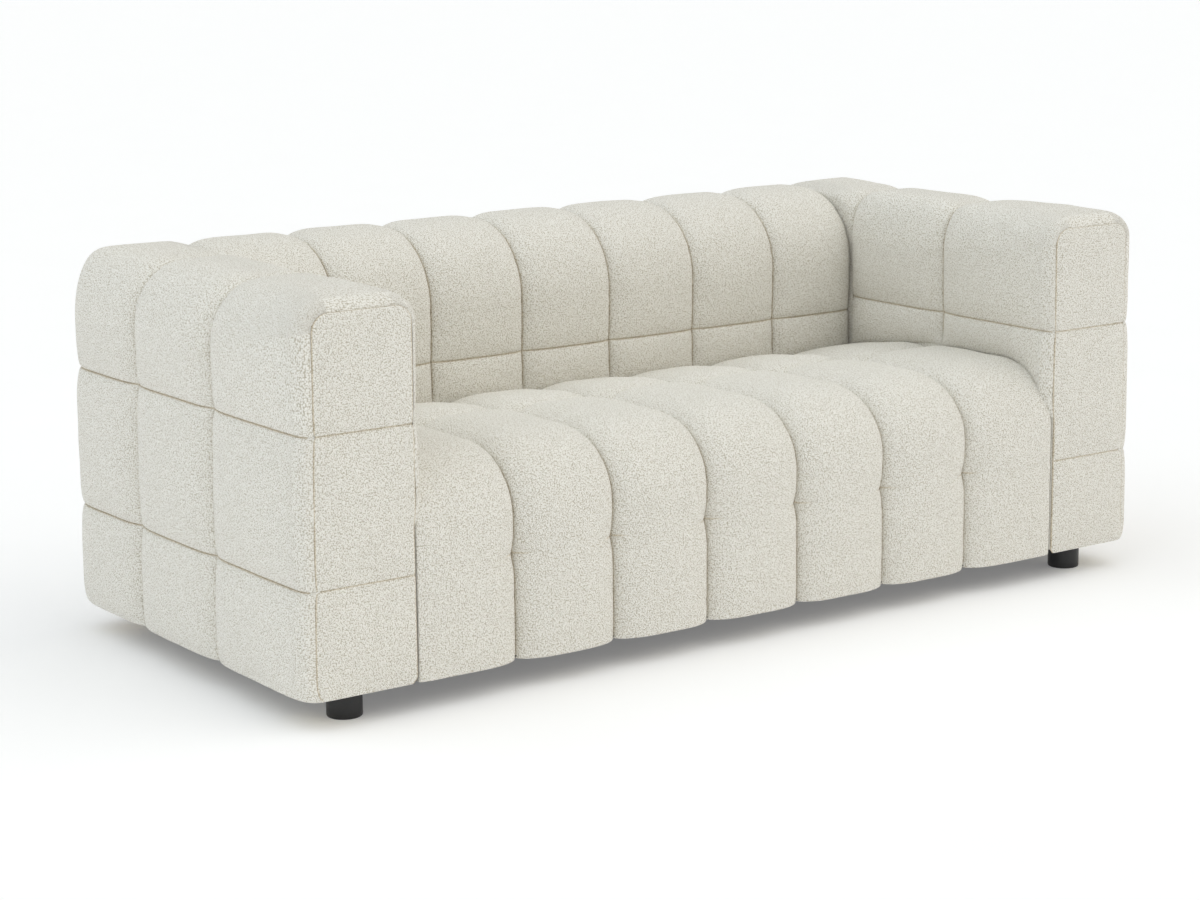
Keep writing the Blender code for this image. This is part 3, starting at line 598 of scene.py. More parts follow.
class ChannelCover(Cover):
    """Channels side by side between the arms, all along one profile of (forward, height).

    A channel is given as the reach of its walls, its share of dome and how deep its seams are pulled in.
    """

    def __init__(
        self, name, crown, channel, path, row_stops, row_seams, reaches,
        loose_end=math.inf, rearmost=math.inf, tufts=None,
    ):
        joins = np.linspace(-SEAT_SIDE, SEAT_SIDE, CHANNELS + 1)
        super().__init__(name, crown, joins, range(CHANNELS + 1), row_stops, row_seams)
        self.reach, self.dome, self.sink = channel
        self.path = path
        self.reaches = reaches
        self.last_seam = row_seams[-1]
        self.loose_end = loose_end
        self.rearmost = rearmost
        self.tufts = tufts

    def surface(self, columns, rows):
        joins = self.column_stops
        x = at_stops(columns, joins)
        places = at_stops(rows, self.row_stops)
        flat, normals = along(self.path, places)
        shape = (len(x), len(places))
        base = np.stack([
            np.broadcast_to(x[:, None], shape),
            np.broadcast_to(-flat[:, 0], shape),
            np.broadcast_to(flat[:, 1], shape),
        ], axis=2)
        outward = np.stack([
            np.zeros(shape), np.broadcast_to(-normals[:, 0], shape), np.broadcast_to(normals[:, 1], shape)
        ], axis=2)
        row_seams = self.row_seams()
        last = self.row_stops[self.last_seam]
        tied = np.clip((last - places) / PUFF_FADE, 0, 1) if self.hides() else np.ones(len(places))
        across = pillows(x, joins, [self.reach] * len(joins), self.dome)[:, None]
        up = np.broadcast_to(pillows(places, row_seams, self.reaches, ROW_DOME), shape)
        # Outer ends that aren't sewn down stay full: all along the seat, and on the outside of the back
        rest = (SEAT_SIDE - np.abs(x))[:, None]
        loose = (rest < SEAT_SIDE / CHANNELS) * np.clip((self.loose_end - places) / PUFF_FADE, 0, 1)
        full = np.maximum(across, END_RISE + (1 - END_RISE) * wall(rest, END_WALL))
        across = across + loose * (full - across)
        sewn = (1 - loose) * tied
        gaps, sides = nearest(x, joins)
        cross_rise = CROSS_SEAM_RISE
        if self.tufts:
            cross_rise = np.interp(places, self.tufts, (REAR_TUFT_RISE, FRONT_TUFT_RISE))
        share = puffs(across, up, tied, SIDE_SEAM_RISE, cross_rise, self.fullness(columns, rows))
        if self.tufts:
            dent = np.interp(places, self.tufts, (REAR_TUFT_DENT, FRONT_TUFT_DENT))
            share = share - dent / self.crown * tuft_dents(gaps, places, self.tufts) * sewn
        else:
            share = share * flatter_on_top(normals)
        share = share - self.sink / self.crown * (1 - wall(gaps, self.reach))[:, None] * sewn
        # A row of tufts has its furrow, thread colour and painted furrow shade only beside the channels'
        # seams, and a cross seam has them all along
        cross = furrows(places, row_seams[1:-1])[None, :]
        if self.tufts:
            cross = cross * np.exp(-((gaps / TUFT_CREASE) ** 2))[:, None] * sewn
        seams = np.maximum(furrows(x, joins)[:, None] * sewn, cross)
        return base, outward, share, seams, gathers(gaps, sides, places) * sewn

    def hides(self):
        """Whether the cover goes on out of sight below its last seam."""
        return self.last_seam < len(self.row_stops) - 1

    def hidden(self, columns, rows):
        return np.broadcast_to(rows >= self.last_seam, (len(columns), len(rows))) & self.hides()

    def kept_in(self, points):
        """The cover stays between the arms and in front of what is behind it."""
        points[..., 0] = np.clip(points[..., 0], -SEAT_SIDE, SEAT_SIDE)
        points[..., 1] = np.minimum(points[..., 1], self.rearmost)
        return points


def back_roll_drop(y):
    """How far the front roll of the back lies below its top, at one depth."""
    rest = min(max(BACK_FACE + BACK_ROLL - y, 0), BACK_ROLL)
    return BACK_ROLL - math.sqrt(BACK_ROLL**2 - rest**2)


def end_inset(y):
    """How far the cover rolls in towards the panels on the two ends of the arm."""
    return max(PANEL_INSET * (1 - wall(y - FRONT, END_ROLL)), REAR_INSET * (1 - wall(REAR - y, REAR_ROLL)))


def hem_corner(heights, reach_in, reach_up):
    """How far a lower corner of the arm's end is rounded in, at these heights."""
    low = np.clip(1 - (heights - ARM_BASE) / reach_up, 0, 1)
    return reach_in * (1 - np.sqrt(1 - low**2))


def seat_edge(y):
    """Height of the seat's seams at one depth, where the arm's inner side tucks in beside it."""
    forward, heights = SEAT_RUN
    return np.interp(-y, forward, heights) + ARM_TUCK


class ArmSection:
    """The left arm cut across at one depth, as (x, height): up outside, over the top, down inside."""

    def __init__(self, y, inset, inner_share=1):
        marks = (FRONT, ARM_FRONT_SEAM)
        round_marks = (FRONT, ARM_FRONT_SEAM, ARM_REAR_SEAM, REAR)
        across = np.interp(y, round_marks, (END_ROUND, ARM_OUTER_ACROSS, ARM_OUTER_ACROSS, ARM_REAR_ACROSS))
        down = np.interp(y, round_marks, (END_ROUND, ARM_OUTER_DOWN, ARM_OUTER_DOWN, ARM_REAR_DOWN))
        inner_across = np.interp(y, marks, (END_ROUND, ARM_INNER_ACROSS))
        inner_down = np.interp(y, marks, (END_ROUND, ARM_INNER_DOWN))
        if y > ARM_REAR_SEAM:
            inner_down = min(inner_down, back_roll_drop(y))
        sizes = [max(size - inset, LEAST_ROUND) for size in (down, across, inner_across, inner_down)]
        outside, inside, top = ARM_OUTSIDE + inset, ARM_INSIDE - inset * inner_share, TOP - inset
        self.path = rounded_path([
            ((outside - ARM_FLARE, ARM_BASE), 0, 0),
            ((outside, top), sizes[0], sizes[1]),
            ((inside, top), sizes[2], sizes[3]),
            ((inside, FRAME_BASE), 0, 0),
        ])
        self.end = self.path[1][-1]
        self.turns = turn_marks(self.path)
        inner = [self.inner(UPPER_SEAM), self.inner(seat_edge(y)), self.end]
        self.stops = [0, self.outer(LOWER_SEAM), self.outer(UPPER_SEAM), *self.turns, *inner]
        numbers = CORNER_ROW_SEAMS if y >= ARM_REAR_SEAM else SEEN_ROW_SEAMS
        self.seams = [self.stops[k] for k in numbers]

    def outer(self, height):
        """Length along the cut to a height on the outer side."""
        return height - ARM_BASE

    def inner(self, height):
        """Length along the cut to a height on the inner side."""
        return self.end - (height - FRAME_BASE)

    def rise(self, places):
        """Height of the rows of blocks at these lengths, and 1 where they are in sight, fading to 0."""
        reaches = [ROW_WALL] * (len(self.seams) - 1) + [TUCK_WALL]
        up = pillows(places, self.seams, reaches, ROW_DOME)
        return up, np.clip((self.seams[-1] - places) / PUFF_FADE, 0, 1)


class ArmCover(Cover):
    """The cover of one arm: three columns from front to rear, rows up the outer side and over the top."""

    def __init__(self, name, side):
        self.side = side
        columns = (FRONT, ARM_FRONT_SEAM, ARM_REAR_SEAM, REAR)
        rows = ArmSection(ARM_FRONT_SEAM, 0).stops
        super().__init__(name, ARM_PUFF, columns, range(len(columns)), rows, ARM_ROW_SEAMS)

    def surface(self, columns, rows):
        depths = at_stops(columns, self.column_stops)
        along_arm = pillows(depths, self.column_stops, ARM_REACHES, COLUMN_DOME)
        # The front block stands up from the panel by a lip
        before = depths < (FRONT + ARM_FRONT_SEAM) / 2
        along_arm = np.where(before, LIP_RISE + (1 - LIP_RISE) * along_arm, along_arm)
        ends = wall(np.minimum(depths - FRONT, REAR - depths), FRONT_LIP)
        gaps, sides = nearest(depths, self.column_stops[1:-1])
        shape = (len(depths), len(rows))
        base, outward = np.zeros((*shape, 3)), np.zeros((*shape, 3))
        up, tied, cross, flat_top = (np.zeros(shape) for _ in range(4))
        for k, y in enumerate(depths):
            cut = ArmSection(y, end_inset(y), INNER_INSET)
            places = at_stops(rows, cut.stops)
            flat, normals = along(cut.path, places)
            corner = hem_corner(flat[:, 1], HEM_CORNER_IN, HEM_CORNER_UP) * (rows < INNER_EDGE)
            flat[:, 0] += (1 - ends[k]) * corner
            base[k] = np.stack([-self.side * flat[:, 0], np.full(len(rows), y), flat[:, 1]], axis=1)
            outward[k] = np.stack([-self.side * normals[:, 0], np.zeros(len(rows)), normals[:, 1]], axis=1)
            up[k], tied[k] = cut.rise(places)
            cross[k] = furrows(places, cut.seams[1:-1]) * tied[k]
            flat_top[k] = flatter_on_top(normals)
        side_rise = SIDE_SEAM_RISE * ends[:, None]
        blocks = self.fullness(columns, rows)
        share = puffs(along_arm[:, None], up, tied, side_rise, CROSS_SEAM_RISE, blocks) * flat_top
        share = share - SEAM_SINK * (1 - wall(gaps, ARM_WALL))[:, None] / self.crown * tied
        seams = np.maximum(furrows(depths, self.column_stops)[:, None] * tied, cross)
        creases = gathers(gaps, sides, at_stops(rows, self.row_stops)) * tied
        return base, outward, share, seams, creases

    def hidden(self, columns, rows):
        depths = at_stops(columns, self.column_stops)
        behind = (depths >= ARM_REAR_SEAM)[:, None] & (rows >= INNER_EDGE)
        return behind | (rows >= ARM_SEAT_LINE)

    def thread_and_shade(self, columns, rows):
        """The thread colour and painted furrow shade of the seam that holds the panels show on the panels and
        not on the arm.
        """
        depths = at_stops(columns, self.column_stops)
        between = (depths > FRONT + LIP_SEAM) & (depths < REAR - LIP_SEAM)
        return super().thread_and_shade(columns, rows) * between[:, None]

    def kept_in(self, points):
        """Behind the back's face the cover stays flat against the end of the back."""
        inwards = -self.side * points[..., 0]
        behind = points[..., 1] >= ARM_REAR_SEAM
        points[..., 0] = np.where(behind, -self.side * np.minimum(inwards, ARM_INSIDE), points[..., 0])
        return points


class PanelCover(Cover):
    """The sewn panel set into one end of an arm: three blocks, one over another."""

    def __init__(self, name, side, outwards):
        self.side = side
        self.outwards = outwards
        self.seam_plane = FRONT if outwards < 0 else REAR
        inset = end_inset(self.seam_plane)
        self.cut = cut = ArmSection(self.seam_plane, inset, INNER_INSET)
        outer_start, outer_end, inner_start, inner_end = cut.turns
        outer_stops = [0, cut.outer(LOWER_SEAM), cut.outer(UPPER_SEAM), outer_start, outer_end]
        self.inner_stops = [cut.end, cut.inner(LOWER_SEAM), cut.inner(UPPER_SEAM), inner_end, inner_start]
        self.width = ARM_INSIDE - ARM_OUTSIDE - (1 + INNER_INSET) * inset
        super().__init__(name, PANEL_CROWN, (0, self.width), (0, 1), outer_stops, PANEL_ROW_SEAMS)

    def edge(self, places):
        """Points of the outline. On the front it swells with the blocks of the arm that it is sewn to."""
        points, normals = along(self.cut.path, places)
        up, tied = self.cut.rise(places)
        rise = -FURROW * tied
        if self.outwards < 0:
            blocks = (1 - CROSS_SEAM_RISE) * up + CROSS_SEAM_RISE * tied
            rise = rise + ARM_PUFF * LIP_RISE * blocks * flatter_on_top(normals)
        return points + normals * rise[:, None]

    def surface(self, columns, rows):
        places = at_stops(rows, self.row_stops)
        outer = self.edge(places)
        inner = self.edge(at_stops(rows, self.inner_stops))
        inner[0, 1] = ARM_BASE
        inner[:, 0] -= hem_corner(inner[:, 1], PANEL_CORNER, PANEL_CORNER)
        outer[:, 0] += hem_corner(outer[:, 1], HEM_CORNER_IN, HEM_CORNER_UP)
        shape = (len(columns), len(rows))
        flat = outer + (inner - outer) * columns[:, None, None]
        base = np.stack([-self.side * flat[..., 0], np.full(shape, self.seam_plane), flat[..., 1]], axis=2)
        outward = np.broadcast_to((0.0, self.outwards, 0.0), (*shape, 3))
        seams = self.row_seams()
        reaches = (PANEL_WALL, PANEL_ROW_WALL, PANEL_ROW_WALL, PANEL_WALL)
        across = np.minimum(columns, 1 - columns) * self.width
        share = wall(across, PANEL_WALL)[:, None] * pillows(places, seams, reaches, 0)
        sewn = np.maximum(PANEL_FURROW * furrows(places, seams[1:-1]), self.rim(columns, rows))
        return base, outward, share, sewn, np.zeros(shape)

    def rim(self, columns, rows):
        """Share of the seam round the panel's edge."""
        across = np.minimum(columns, 1 - columns) * self.width
        rest = self.row_stops[-1] - at_stops(rows, self.row_stops)
        return np.exp(-((np.minimum(across[:, None], rest) / RIM_WIDTH) ** 2))

    def thread_and_shade(self, columns, rows):
        """The seam round the edge is pulled tightest and painted darkest: its thread colour with the most
        painted shade of its furrow.
        """
        return np.maximum(super().thread_and_shade(columns, rows), self.rim(columns, rows))


# Swelling: wadding presses the cloth out between its seams


def grid_faces(columns, rows, start=0):
    """Four-cornered faces of a grid of points, which are numbered from a start."""
    numbers = start + np.arange(columns * rows).reshape(columns, rows)
    corners = (numbers[:-1, :-1], numbers[:-1, 1:], numbers[1:, 1:], numbers[1:, :-1])
    return np.stack(corners, axis=2).reshape(-1, 4).tolist()


def pinned_cloth(cover, points, held, turned):
    """A cloth sheet over one cover, held at its seams, with wadding pressing from inside."""
    mesh = bpy.data.meshes.new(cover.name + "_swelling")
    faces = grid_faces(*points.shape[:2])
    mesh.from_pydata(points.reshape(-1, 3).tolist(), [], [face[::-1] for face in faces] if turned else faces)
    sheet = bpy.data.objects.new(mesh.name, mesh)
    bpy.context.scene.collection.objects.link(sheet)
    pins = sheet.vertex_groups.new(name="seams")
    pins.add(np.flatnonzero(held.ravel()).tolist(), 1.0, "REPLACE")
    cloth = sheet.modifiers.new("wadding", "CLOTH")
    cloth.settings.vertex_group_mass = "seams"
    cloth.settings.quality = CLOTH_QUALITY
    cloth.settings.mass = CLOTH_WEIGHT
    cloth.settings.tension_stiffness = STRETCH_STIFFNESS
    cloth.settings.compression_stiffness = STRETCH_STIFFNESS
    cloth.settings.shear_stiffness = SHEAR_STIFFNESS
    cloth.settings.bending_stiffness = BEND_STIFFNESS
    cloth.settings.use_pressure = True
    cloth.settings.uniform_pressure_force = PRESSURE
    cloth.settings.effector_weights.gravity = 0
    cloth.collision_settings.use_collision = False
    cloth.collision_settings.use_self_collision = False
    cloth.point_cache.frame_start = 1
    cloth.point_cache.frame_end = SWELL_FRAMES
    return sheet


def faces_inwards(cover, columns, rows, points):
    """Whether the faces of a grid have to be turned round to point outwards."""
    outward = cover.surface(columns, rows)[1]
    across = points[1:, :-1] - points[:-1, :-1]
    up = points[:-1, 1:] - points[:-1, :-1]
    return (np.cross(up, across) * outward[:-1, :-1]).sum() < 0


def swell(covers):
    """How far the wadding moves each cover's coarse points, all covers at once."""
    starts, sheets = {}, {}
    for cover in covers:
        columns, rows = cover.lines(SWELL_STEP, SWELL_CLOSENESS)
        points = cover.skin(columns, rows, sewn=False)
        turned = faces_inwards(cover, columns, rows, points)
        starts[cover.name] = points
        sheets[cover.name] = pinned_cloth(cover, points, cover.held(columns, rows), turned)
    scene = bpy.context.scene
    for number in range(1, SWELL_FRAMES + 1):
        scene.frame_set(number)
    graph = bpy.context.evaluated_depsgraph_get()
    moves = {}
    for name, sheet in sheets.items():
        settled = sheet.evaluated_get(graph).to_mesh()
        points = np.empty(len(settled.vertices) * 3, np.float32)
        settled.vertices.foreach_get("co", points)
        move = points.reshape(starts[name].shape) - starts[name]
        length = np.linalg.norm(move, axis=2, keepdims=True)
        moves[name] = move * MOST_SWELL * np.tanh(length / MOST_SWELL) / np.maximum(length, LEAST_MOVE)
        bpy.data.objects.remove(sheet, do_unlink=True)
    scene.frame_set(1)
    return moves


def weave(points, flat):
    """Lengths across and along a cover's cloth at every crossing of its lines. A flat one needs no sums."""
    if flat:
        return points[..., ::2]
    across = np.linalg.norm(np.diff(points, axis=0), axis=2).mean(axis=1)
    down = np.linalg.norm(np.diff(points, axis=1), axis=2).mean(axis=0)
    lengths = [np.concatenate([[0], np.cumsum(steps)]) for steps in (across, down)]
    return np.stack(np.meshgrid(*lengths, indexing="ij"), axis=2)


def finished_skin(cover, moves):
    """The cover's outside on fine lines: quilted, swelled, furrowed at the seams and a little uneven.

    With it comes where each point lies on the cloth, and how much thread colour and painted furrow shade is
    there.
    """
    columns, rows = cover.lines(CLOTH_STEP, CLOTH_CLOSENESS)
    points = cover.skin(columns, rows, sewn=True)
    if cover.name in moves:
        coarse_columns, coarse_rows = cover.lines(SWELL_STEP, SWELL_CLOSENESS)
        carry_columns, carry_rows = spread(columns, coarse_columns), spread(rows, coarse_rows)
        swelling = np.einsum("ik,klc,jl->ijc", carry_columns, moves[cover.name], carry_rows, optimize=True)
        points = cover.kept_in(points + swelling)
    # Thread colour with painted shade of the seams' furrows, carried to the fabric as the weave's third value
    thread_and_shade = cover.thread_and_shade(columns, rows)[..., None]
    cloth = np.concatenate([weave(points, isinstance(cover, PanelCover)), thread_and_shade], axis=2)
    return points, cloth.reshape(-1, 3)


# Sewing the covers together as closed pieces


def deselect():
    """Leaves nothing selected."""
    bpy.ops.object.select_all(action="DESELECT")


def make_piece(name, points, faces, material, cloth):
    """A mesh with its faces turned outwards, smooth where it is round, with its places on the cloth."""
    mesh = bpy.data.meshes.new(name)
    mesh.from_pydata(points, [], faces)
    places = np.zeros((len(points), 3), np.float32)
    places[:len(cloth)] = cloth
    mesh.attributes.new("weave", "FLOAT_VECTOR", "POINT").data.foreach_set("vector", places.ravel())
    mesh.materials.append(material)
    piece = bpy.data.objects.new(name, mesh)
    bpy.context.scene.collection.objects.link(piece)
    deselect()
    piece.select_set(True)
    bpy.context.view_layer.objects.active = piece
    bpy.ops.object.mode_set(mode="EDIT")
    bpy.ops.mesh.select_all(action="SELECT")
    bpy.ops.mesh.normals_make_consistent(inside=False)
    bpy.ops.object.mode_set(mode="OBJECT")
    bpy.ops.object.shade_smooth_by_angle(angle=math.radians(CLOTH_SMOOTH))
    return piece


def walled(name, skin, inner, material):
    """A wall between two grids of points, with one flat face along each of its four rims."""
    outer, cloth = skin
    near = np.arange(outer[..., 0].size).reshape(outer.shape[:2])
    far = near.size + np.arange(inner[..., 0].size).reshape(inner.shape[:2])
    faces = grid_faces(*outer.shape[:2]) + grid_faces(*inner.shape[:2], near.size)
    for cut in (np.s_[0, :], np.s_[-1, :], np.s_[:, 0], np.s_[:, -1]):
        faces.append(near[cut].tolist() + far[cut].tolist()[::-1])
    points = np.concatenate([outer.reshape(-1, 3), inner.reshape(-1, 3)]).tolist()
    return make_piece(name, points, faces, material, cloth)


def lining_line(path):
    """Points of the plain inner side of a cover along a profile: its ends, and a few on each rounding."""
    stops = [0, *turn_marks(path), path[1][-1]]
    steps = np.arange(LINING_STEPS + 1) / LINING_STEPS
    # The roundings run from the stops numbered 1 and 3
    lines = np.concatenate([[0], 1 + steps, 3 + steps, [len(stops) - 1]])
    return along(path, at_stops(lines, stops))[0]


def arm_lining(side):
    """The plain inner side of an arm's cover, with closer lines where the back rolls over beside it."""
    roll = BACK_FACE + BACK_ROLL * (1 - np.cos(np.pi / 2 * np.arange(LINING_STEPS + 1) / LINING_STEPS))
    depths = [FRONT + PANEL_DEPTH, ARM_FRONT_SEAM, ARM_REAR_SEAM, *roll, REAR - PANEL_DEPTH]
    return np.array([[(-side * x, y, z) for x, z in lining_line(ArmSection(y, COVER).path)] for y in depths])


def straight_lining(path):
    """The plain inner side of a cover between the arms."""
    line = lining_line(path)
    return np.array([[(x, -forward, z) for forward, z in line] for x in (-SEAT_SIDE, SEAT_SIDE)])


def panel_piece(name, cover, skin, material):
    """A panel closed behind by a flat face."""
    front, cloth = skin
    columns, rows = front.shape[:2]
    numbers = np.arange(columns * rows).reshape(columns, rows)
    rim = [*numbers[0, :], *numbers[1:, -1], *numbers[-1, -2::-1], *numbers[-2:0:-1, 0]]
    points = front.reshape(-1, 3)
    behind = points[rim]
    behind[:, 1] = cover.seam_plane - cover.outwards * PANEL_DEPTH
    middle = behind[:, ::2].mean(axis=0)
    behind[:, ::2] += np.clip(middle - behind[:, ::2], -LINING, LINING)
    back = columns * rows + np.arange(len(rim))
    walls = [(rim[k - 1], rim[k], back[k], back[k - 1]) for k in range(len(rim))]
    faces = grid_faces(columns, rows) + [[int(v) for v in corners] for corners in walls] + [back.tolist()]
    return make_piece(name, np.concatenate([points, behind]).tolist(), faces, material, cloth)


def back_cover():
    """The back's cover, with a cross seam low on the inside and two on the outside."""
    path = back_profile(0)
    end = path[1][-1]
    inner_seam = end - (BACK_SEAM - FRAME_BASE)
    seat_line = end - (SEAT_REAR_LINE - BACK_TUCK - FRAME_BASE)
    turns = turn_marks(path)
    stops = [0, LOWER_SEAM - BASE, UPPER_SEAM - BASE, *turns, inner_seam, seat_line, end]
    reaches = [ROW_WALL] * 4 + [TUCK_WALL]
    channel = (CHANNEL_WALL, COLUMN_DOME, SEAM_SINK)
    return ChannelCover(
        "back_quilt", BACK_PUFF, channel, path, stops, BACK_ROW_SEAMS, reaches, loose_end=turns[0]
    )


def seat_cover():
    """The seat's cover, with a row of tufts on top and one on the front."""
    path = seat_profile(0)
    end = path[1][-1]
    bend_start, bend_end, roll_start, roll_end = turn_marks(path)
    tufts = ((bend_start + bend_end) / 2, end - (LOWER_SEAM - BASE + SEAT_HEM_DROP))
    stops = [0, tufts[0], roll_start, roll_end, tufts[1], end]
    reaches = (ROW_WALL, TUFT_WALL, TUFT_WALL, ROW_WALL)
    channel = (SEAT_WALL, SEAT_DOME, SEAT_SINK)
    return ChannelCover(
        "seat_quilt", SEAT_PUFF, channel, path, stops, SEAT_ROW_SEAMS, reaches,
        rearmost=SEAT_REAR - BACK_PRESS, tufts=tufts,
    )


def stand_for(piece, node):
    """Puts a piece on the sofa in place of its solid."""
    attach(piece, "root")
    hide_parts(node)


def settle(piece, node):
    """Puts a soft piece on the sofa in place of its solid."""
    stand_for(piece, node)


def make_covers(fabric):
    """All the covers, swelled together and then sewn up one by one."""
    back, seat = back_cover(), seat_cover()
    arms = {word: ArmCover(word + "_arm_quilt", side) for word, side in SIDES}
    panels = {
        (word, end): PanelCover(f"{word}_arm_{end}_quilt", side, outwards)
        for word, side in SIDES for end, outwards in ENDS
    }
    covers = [back, seat, *arms.values(), *panels.values()]
    moves = swell(covers)
    skins = {cover.name: finished_skin(cover, moves) for cover in covers}
    for cover, node, profile in ((back, "back_cover", back_profile), (seat, "seat_cover", seat_profile)):
        made = walled(cover.name, skins[cover.name], straight_lining(profile(COVER)), fabric)
        settle(made, node)
    for word, side in SIDES:
        arm = arms[word]
        made = walled(arm.name, skins[arm.name], arm_lining(side), fabric)
        settle(made, word + "_arm_cover")
        for end, _ in ENDS:
            panel = panels[word, end]
            made = panel_piece(panel.name, panel, skins[panel.name], fabric)
            settle(made, f"{word}_arm_{end}_panel")


# Legs and what is inside, modelled as by hand


def start_piece(name, add, **shape):
    """Adds a primitive with nothing else selected, and opens it for modelling."""
    deselect()
    add(**shape)
    piece = bpy.context.object
    piece.name = piece.data.name = name
    bpy.ops.object.mode_set(mode="EDIT")
    return piece


def pick(piece, kind, wanted):
    """Selects the faces or edges that the test wants, and nothing else."""
    bpy.ops.mesh.select_mode(type="FACE" if kind == "faces" else "EDGE")
    bpy.ops.mesh.select_all(action="DESELECT")
    shape = bmesh.from_edit_mesh(piece.data)
    for part in getattr(shape, kind):
        if wanted(part):
            part.select_set(True)
    bmesh.update_edit_mesh(piece.data)


def end_piece(piece, material, angle=PART_SMOOTH):
    """Closes a piece that was modelled, smooths it up to an angle and gives it its finish."""
    bpy.ops.object.mode_set(mode="OBJECT")
    bpy.ops.object.transform_apply(location=True, rotation=True, scale=True)
    bpy.ops.object.shade_smooth_by_angle(angle=math.radians(angle))
    piece.data.materials.clear()
    piece.data.materials.append(material)
    return piece


def copied(piece, name, move):
    """A new piece with its own copy of the mesh, moved in its mesh."""
    mesh = piece.data.copy()
    mesh.name = name
    mesh.transform(Matrix.Translation(move))
    copy = bpy.data.objects.new(name, mesh)
    bpy.context.scene.collection.objects.link(copy)
    return copy


def at_height(edge, height, radius=None):
    """Whether an edge lies level at this height and, if given, at this distance from the axis."""
    for vert in edge.verts:
        if abs(vert.co.z - height) > RIM_PLAY:
            return False
        if radius and abs(vert.co.xy.length - radius) > RIM_PLAY:
            return False
    return True


def turned_leg(top, material):
    """One leg standing at the origin: a round foot with softened rims, and the stud on its top."""
    leg = start_piece(
        "leg", bpy.ops.mesh.primitive_cylinder_add,
        vertices=LEG_SIDES, radius=LEG_RADIUS, depth=top, location=(0, 0, 0),
    )
    bpy.ops.mesh.select_all(action="SELECT")
    bpy.ops.transform.translate(value=(0, 0, top / 2))
    pick(leg, "faces", lambda face: face.normal.z > LEVEL_FACE)
    bpy.ops.mesh.inset(thickness=LEG_RADIUS - STUD_RADIUS)
    bpy.ops.mesh.extrude_region_move(TRANSFORM_OT_translate={"value": (0, 0, STUD_LENGTH)})
    pick(leg, "edges", lambda edge: at_height(edge, 0, LEG_RADIUS))
    bpy.ops.mesh.bevel(offset=LEG_FOOT_EDGE, segments=LEG_FOOT_STEPS)
    pick(leg, "edges", lambda edge: at_height(edge, top, LEG_RADIUS))
    bpy.ops.mesh.bevel(offset=LEG_TOP_EDGE, segments=LEG_TOP_STEPS)
    pick(leg, "edges", lambda edge: at_height(edge, top + STUD_LENGTH, STUD_RADIUS))
    bpy.ops.mesh.bevel(offset=LEG_TOP_EDGE, segments=STUD_STEPS)
    return end_piece(leg, material)


def make_legs(material):
    """Four legs, turned once and copied."""
    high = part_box("front_left_leg")[1]
    leg = turned_leg(high.z - STUD_LENGTH, material)
    for end, _ in ENDS:
        for word, _ in SIDES:
            node = f"{end}_{word}_leg"
            low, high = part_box(node)
            made = copied(leg, f"{end}_{word}_turned_leg", ((low.x + high.x) / 2, (low.y + high.y) / 2, 0))
            stand_for(made, node)
    bpy.data.objects.remove(leg, do_unlink=True)


def foam_block(node, material):
    """A foam piece cut like its solid, with its outer corners a little worn."""
    deselect()
    block = copied(frame["nodes"][node], node + "_block", (0, 0, 0))
    block.select_set(True)
    bpy.context.view_layer.objects.active = block
    bpy.ops.object.mode_set(mode="EDIT")
    bpy.ops.mesh.select_all(action="SELECT")
    bpy.ops.mesh.remove_doubles(threshold=FOAM_MERGE)
    bpy.ops.mesh.dissolve_limited(angle_limit=math.radians(FLAT_ANGLE))
    corner = math.radians(FOAM_CORNER)
    pick(block, "edges", lambda edge: edge.is_convex and edge.calc_face_angle(0) > corner)
    bpy.ops.mesh.bevel(offset=FOAM_EDGE, segments=FOAM_STEPS, clamp_overlap=True)
    end_piece(block, material)
    settle(block, node)


def make_foam(material):
    """Foam of the arms, the back and the seat, and the pads behind the front panels."""
    for word, _ in SIDES:
        foam_block(word + "_arm_foam", material)
        foam_block(word + "_arm_front_pad", material)
    foam_block("back_foam", material)
    foam_block("seat_foam", material)


def flat_strip(name, low, high, edge, material):
    """A flat strip between two corners, with its edges pressed round."""
    size = high - low
    strip = start_piece(name, bpy.ops.mesh.primitive_cube_add, size=1, location=(0, 0, 0))
    bpy.ops.mesh.select_all(action="SELECT")
    bpy.ops.transform.resize(value=size)
    bpy.ops.transform.translate(value=(low + high) / 2)
    pick(strip, "edges", lambda part: True)
    bpy.ops.mesh.bevel(offset=edge, segments=STRIP_STEPS)
    return end_piece(strip, material)


def lay(piece, node):
    """Puts a sheet on the sofa in place of its solid."""
    stand_for(piece, node)


def make_straps(material):
    """Elastic straps stretched across the posts of the back, made once and copied."""
    low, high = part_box("back_strap_1")
    first = flat_strip("back_webbing_1", low, high, STRAP_EDGE, material)
    for k in range(1, STRAPS + 1):
        node = f"back_strap_{k}"
        strap = first if k == 1 else copied(first, f"back_webbing_{k}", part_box(node)[0] - low)
        lay(strap, node)


def make_felt(material):
    """The felt laid on the springs."""
    low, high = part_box("spring_felt")
    felt = flat_strip("spring_pad", low, high, FELT_EDGE, material)
    lay(felt, "spring_felt")


def spring_route(low, high):
    """Points of one zigzag spring: bars across, joined by half turns on alternate sides."""
    radius = SPRING_WIRE / 2
    front, rear = low.y + radius, high.y - radius
    x, height = (low.x + high.x) / 2, (low.z + high.z) / 2
    bow = (rear - front) / SPRING_LOOPS / 2
    swing = (high.x - low.x) / 2 - radius - bow
    route = []
    for k in range(SPRING_LOOPS + 1):
        way = 1 if k % 2 else -1
        y = front + 2 * bow * k
        route.append((x - way * swing, y, height))
        if k == SPRING_LOOPS:
            route.append((x + way * swing, y, height))
            break
        for step in range(LOOP_STEPS):
            turn = math.pi * step / LOOP_STEPS
            out, on = bow * math.sin(turn), bow * (1 - math.cos(turn))
            route.append((x + way * (swing + out), y + on, height))
    return route


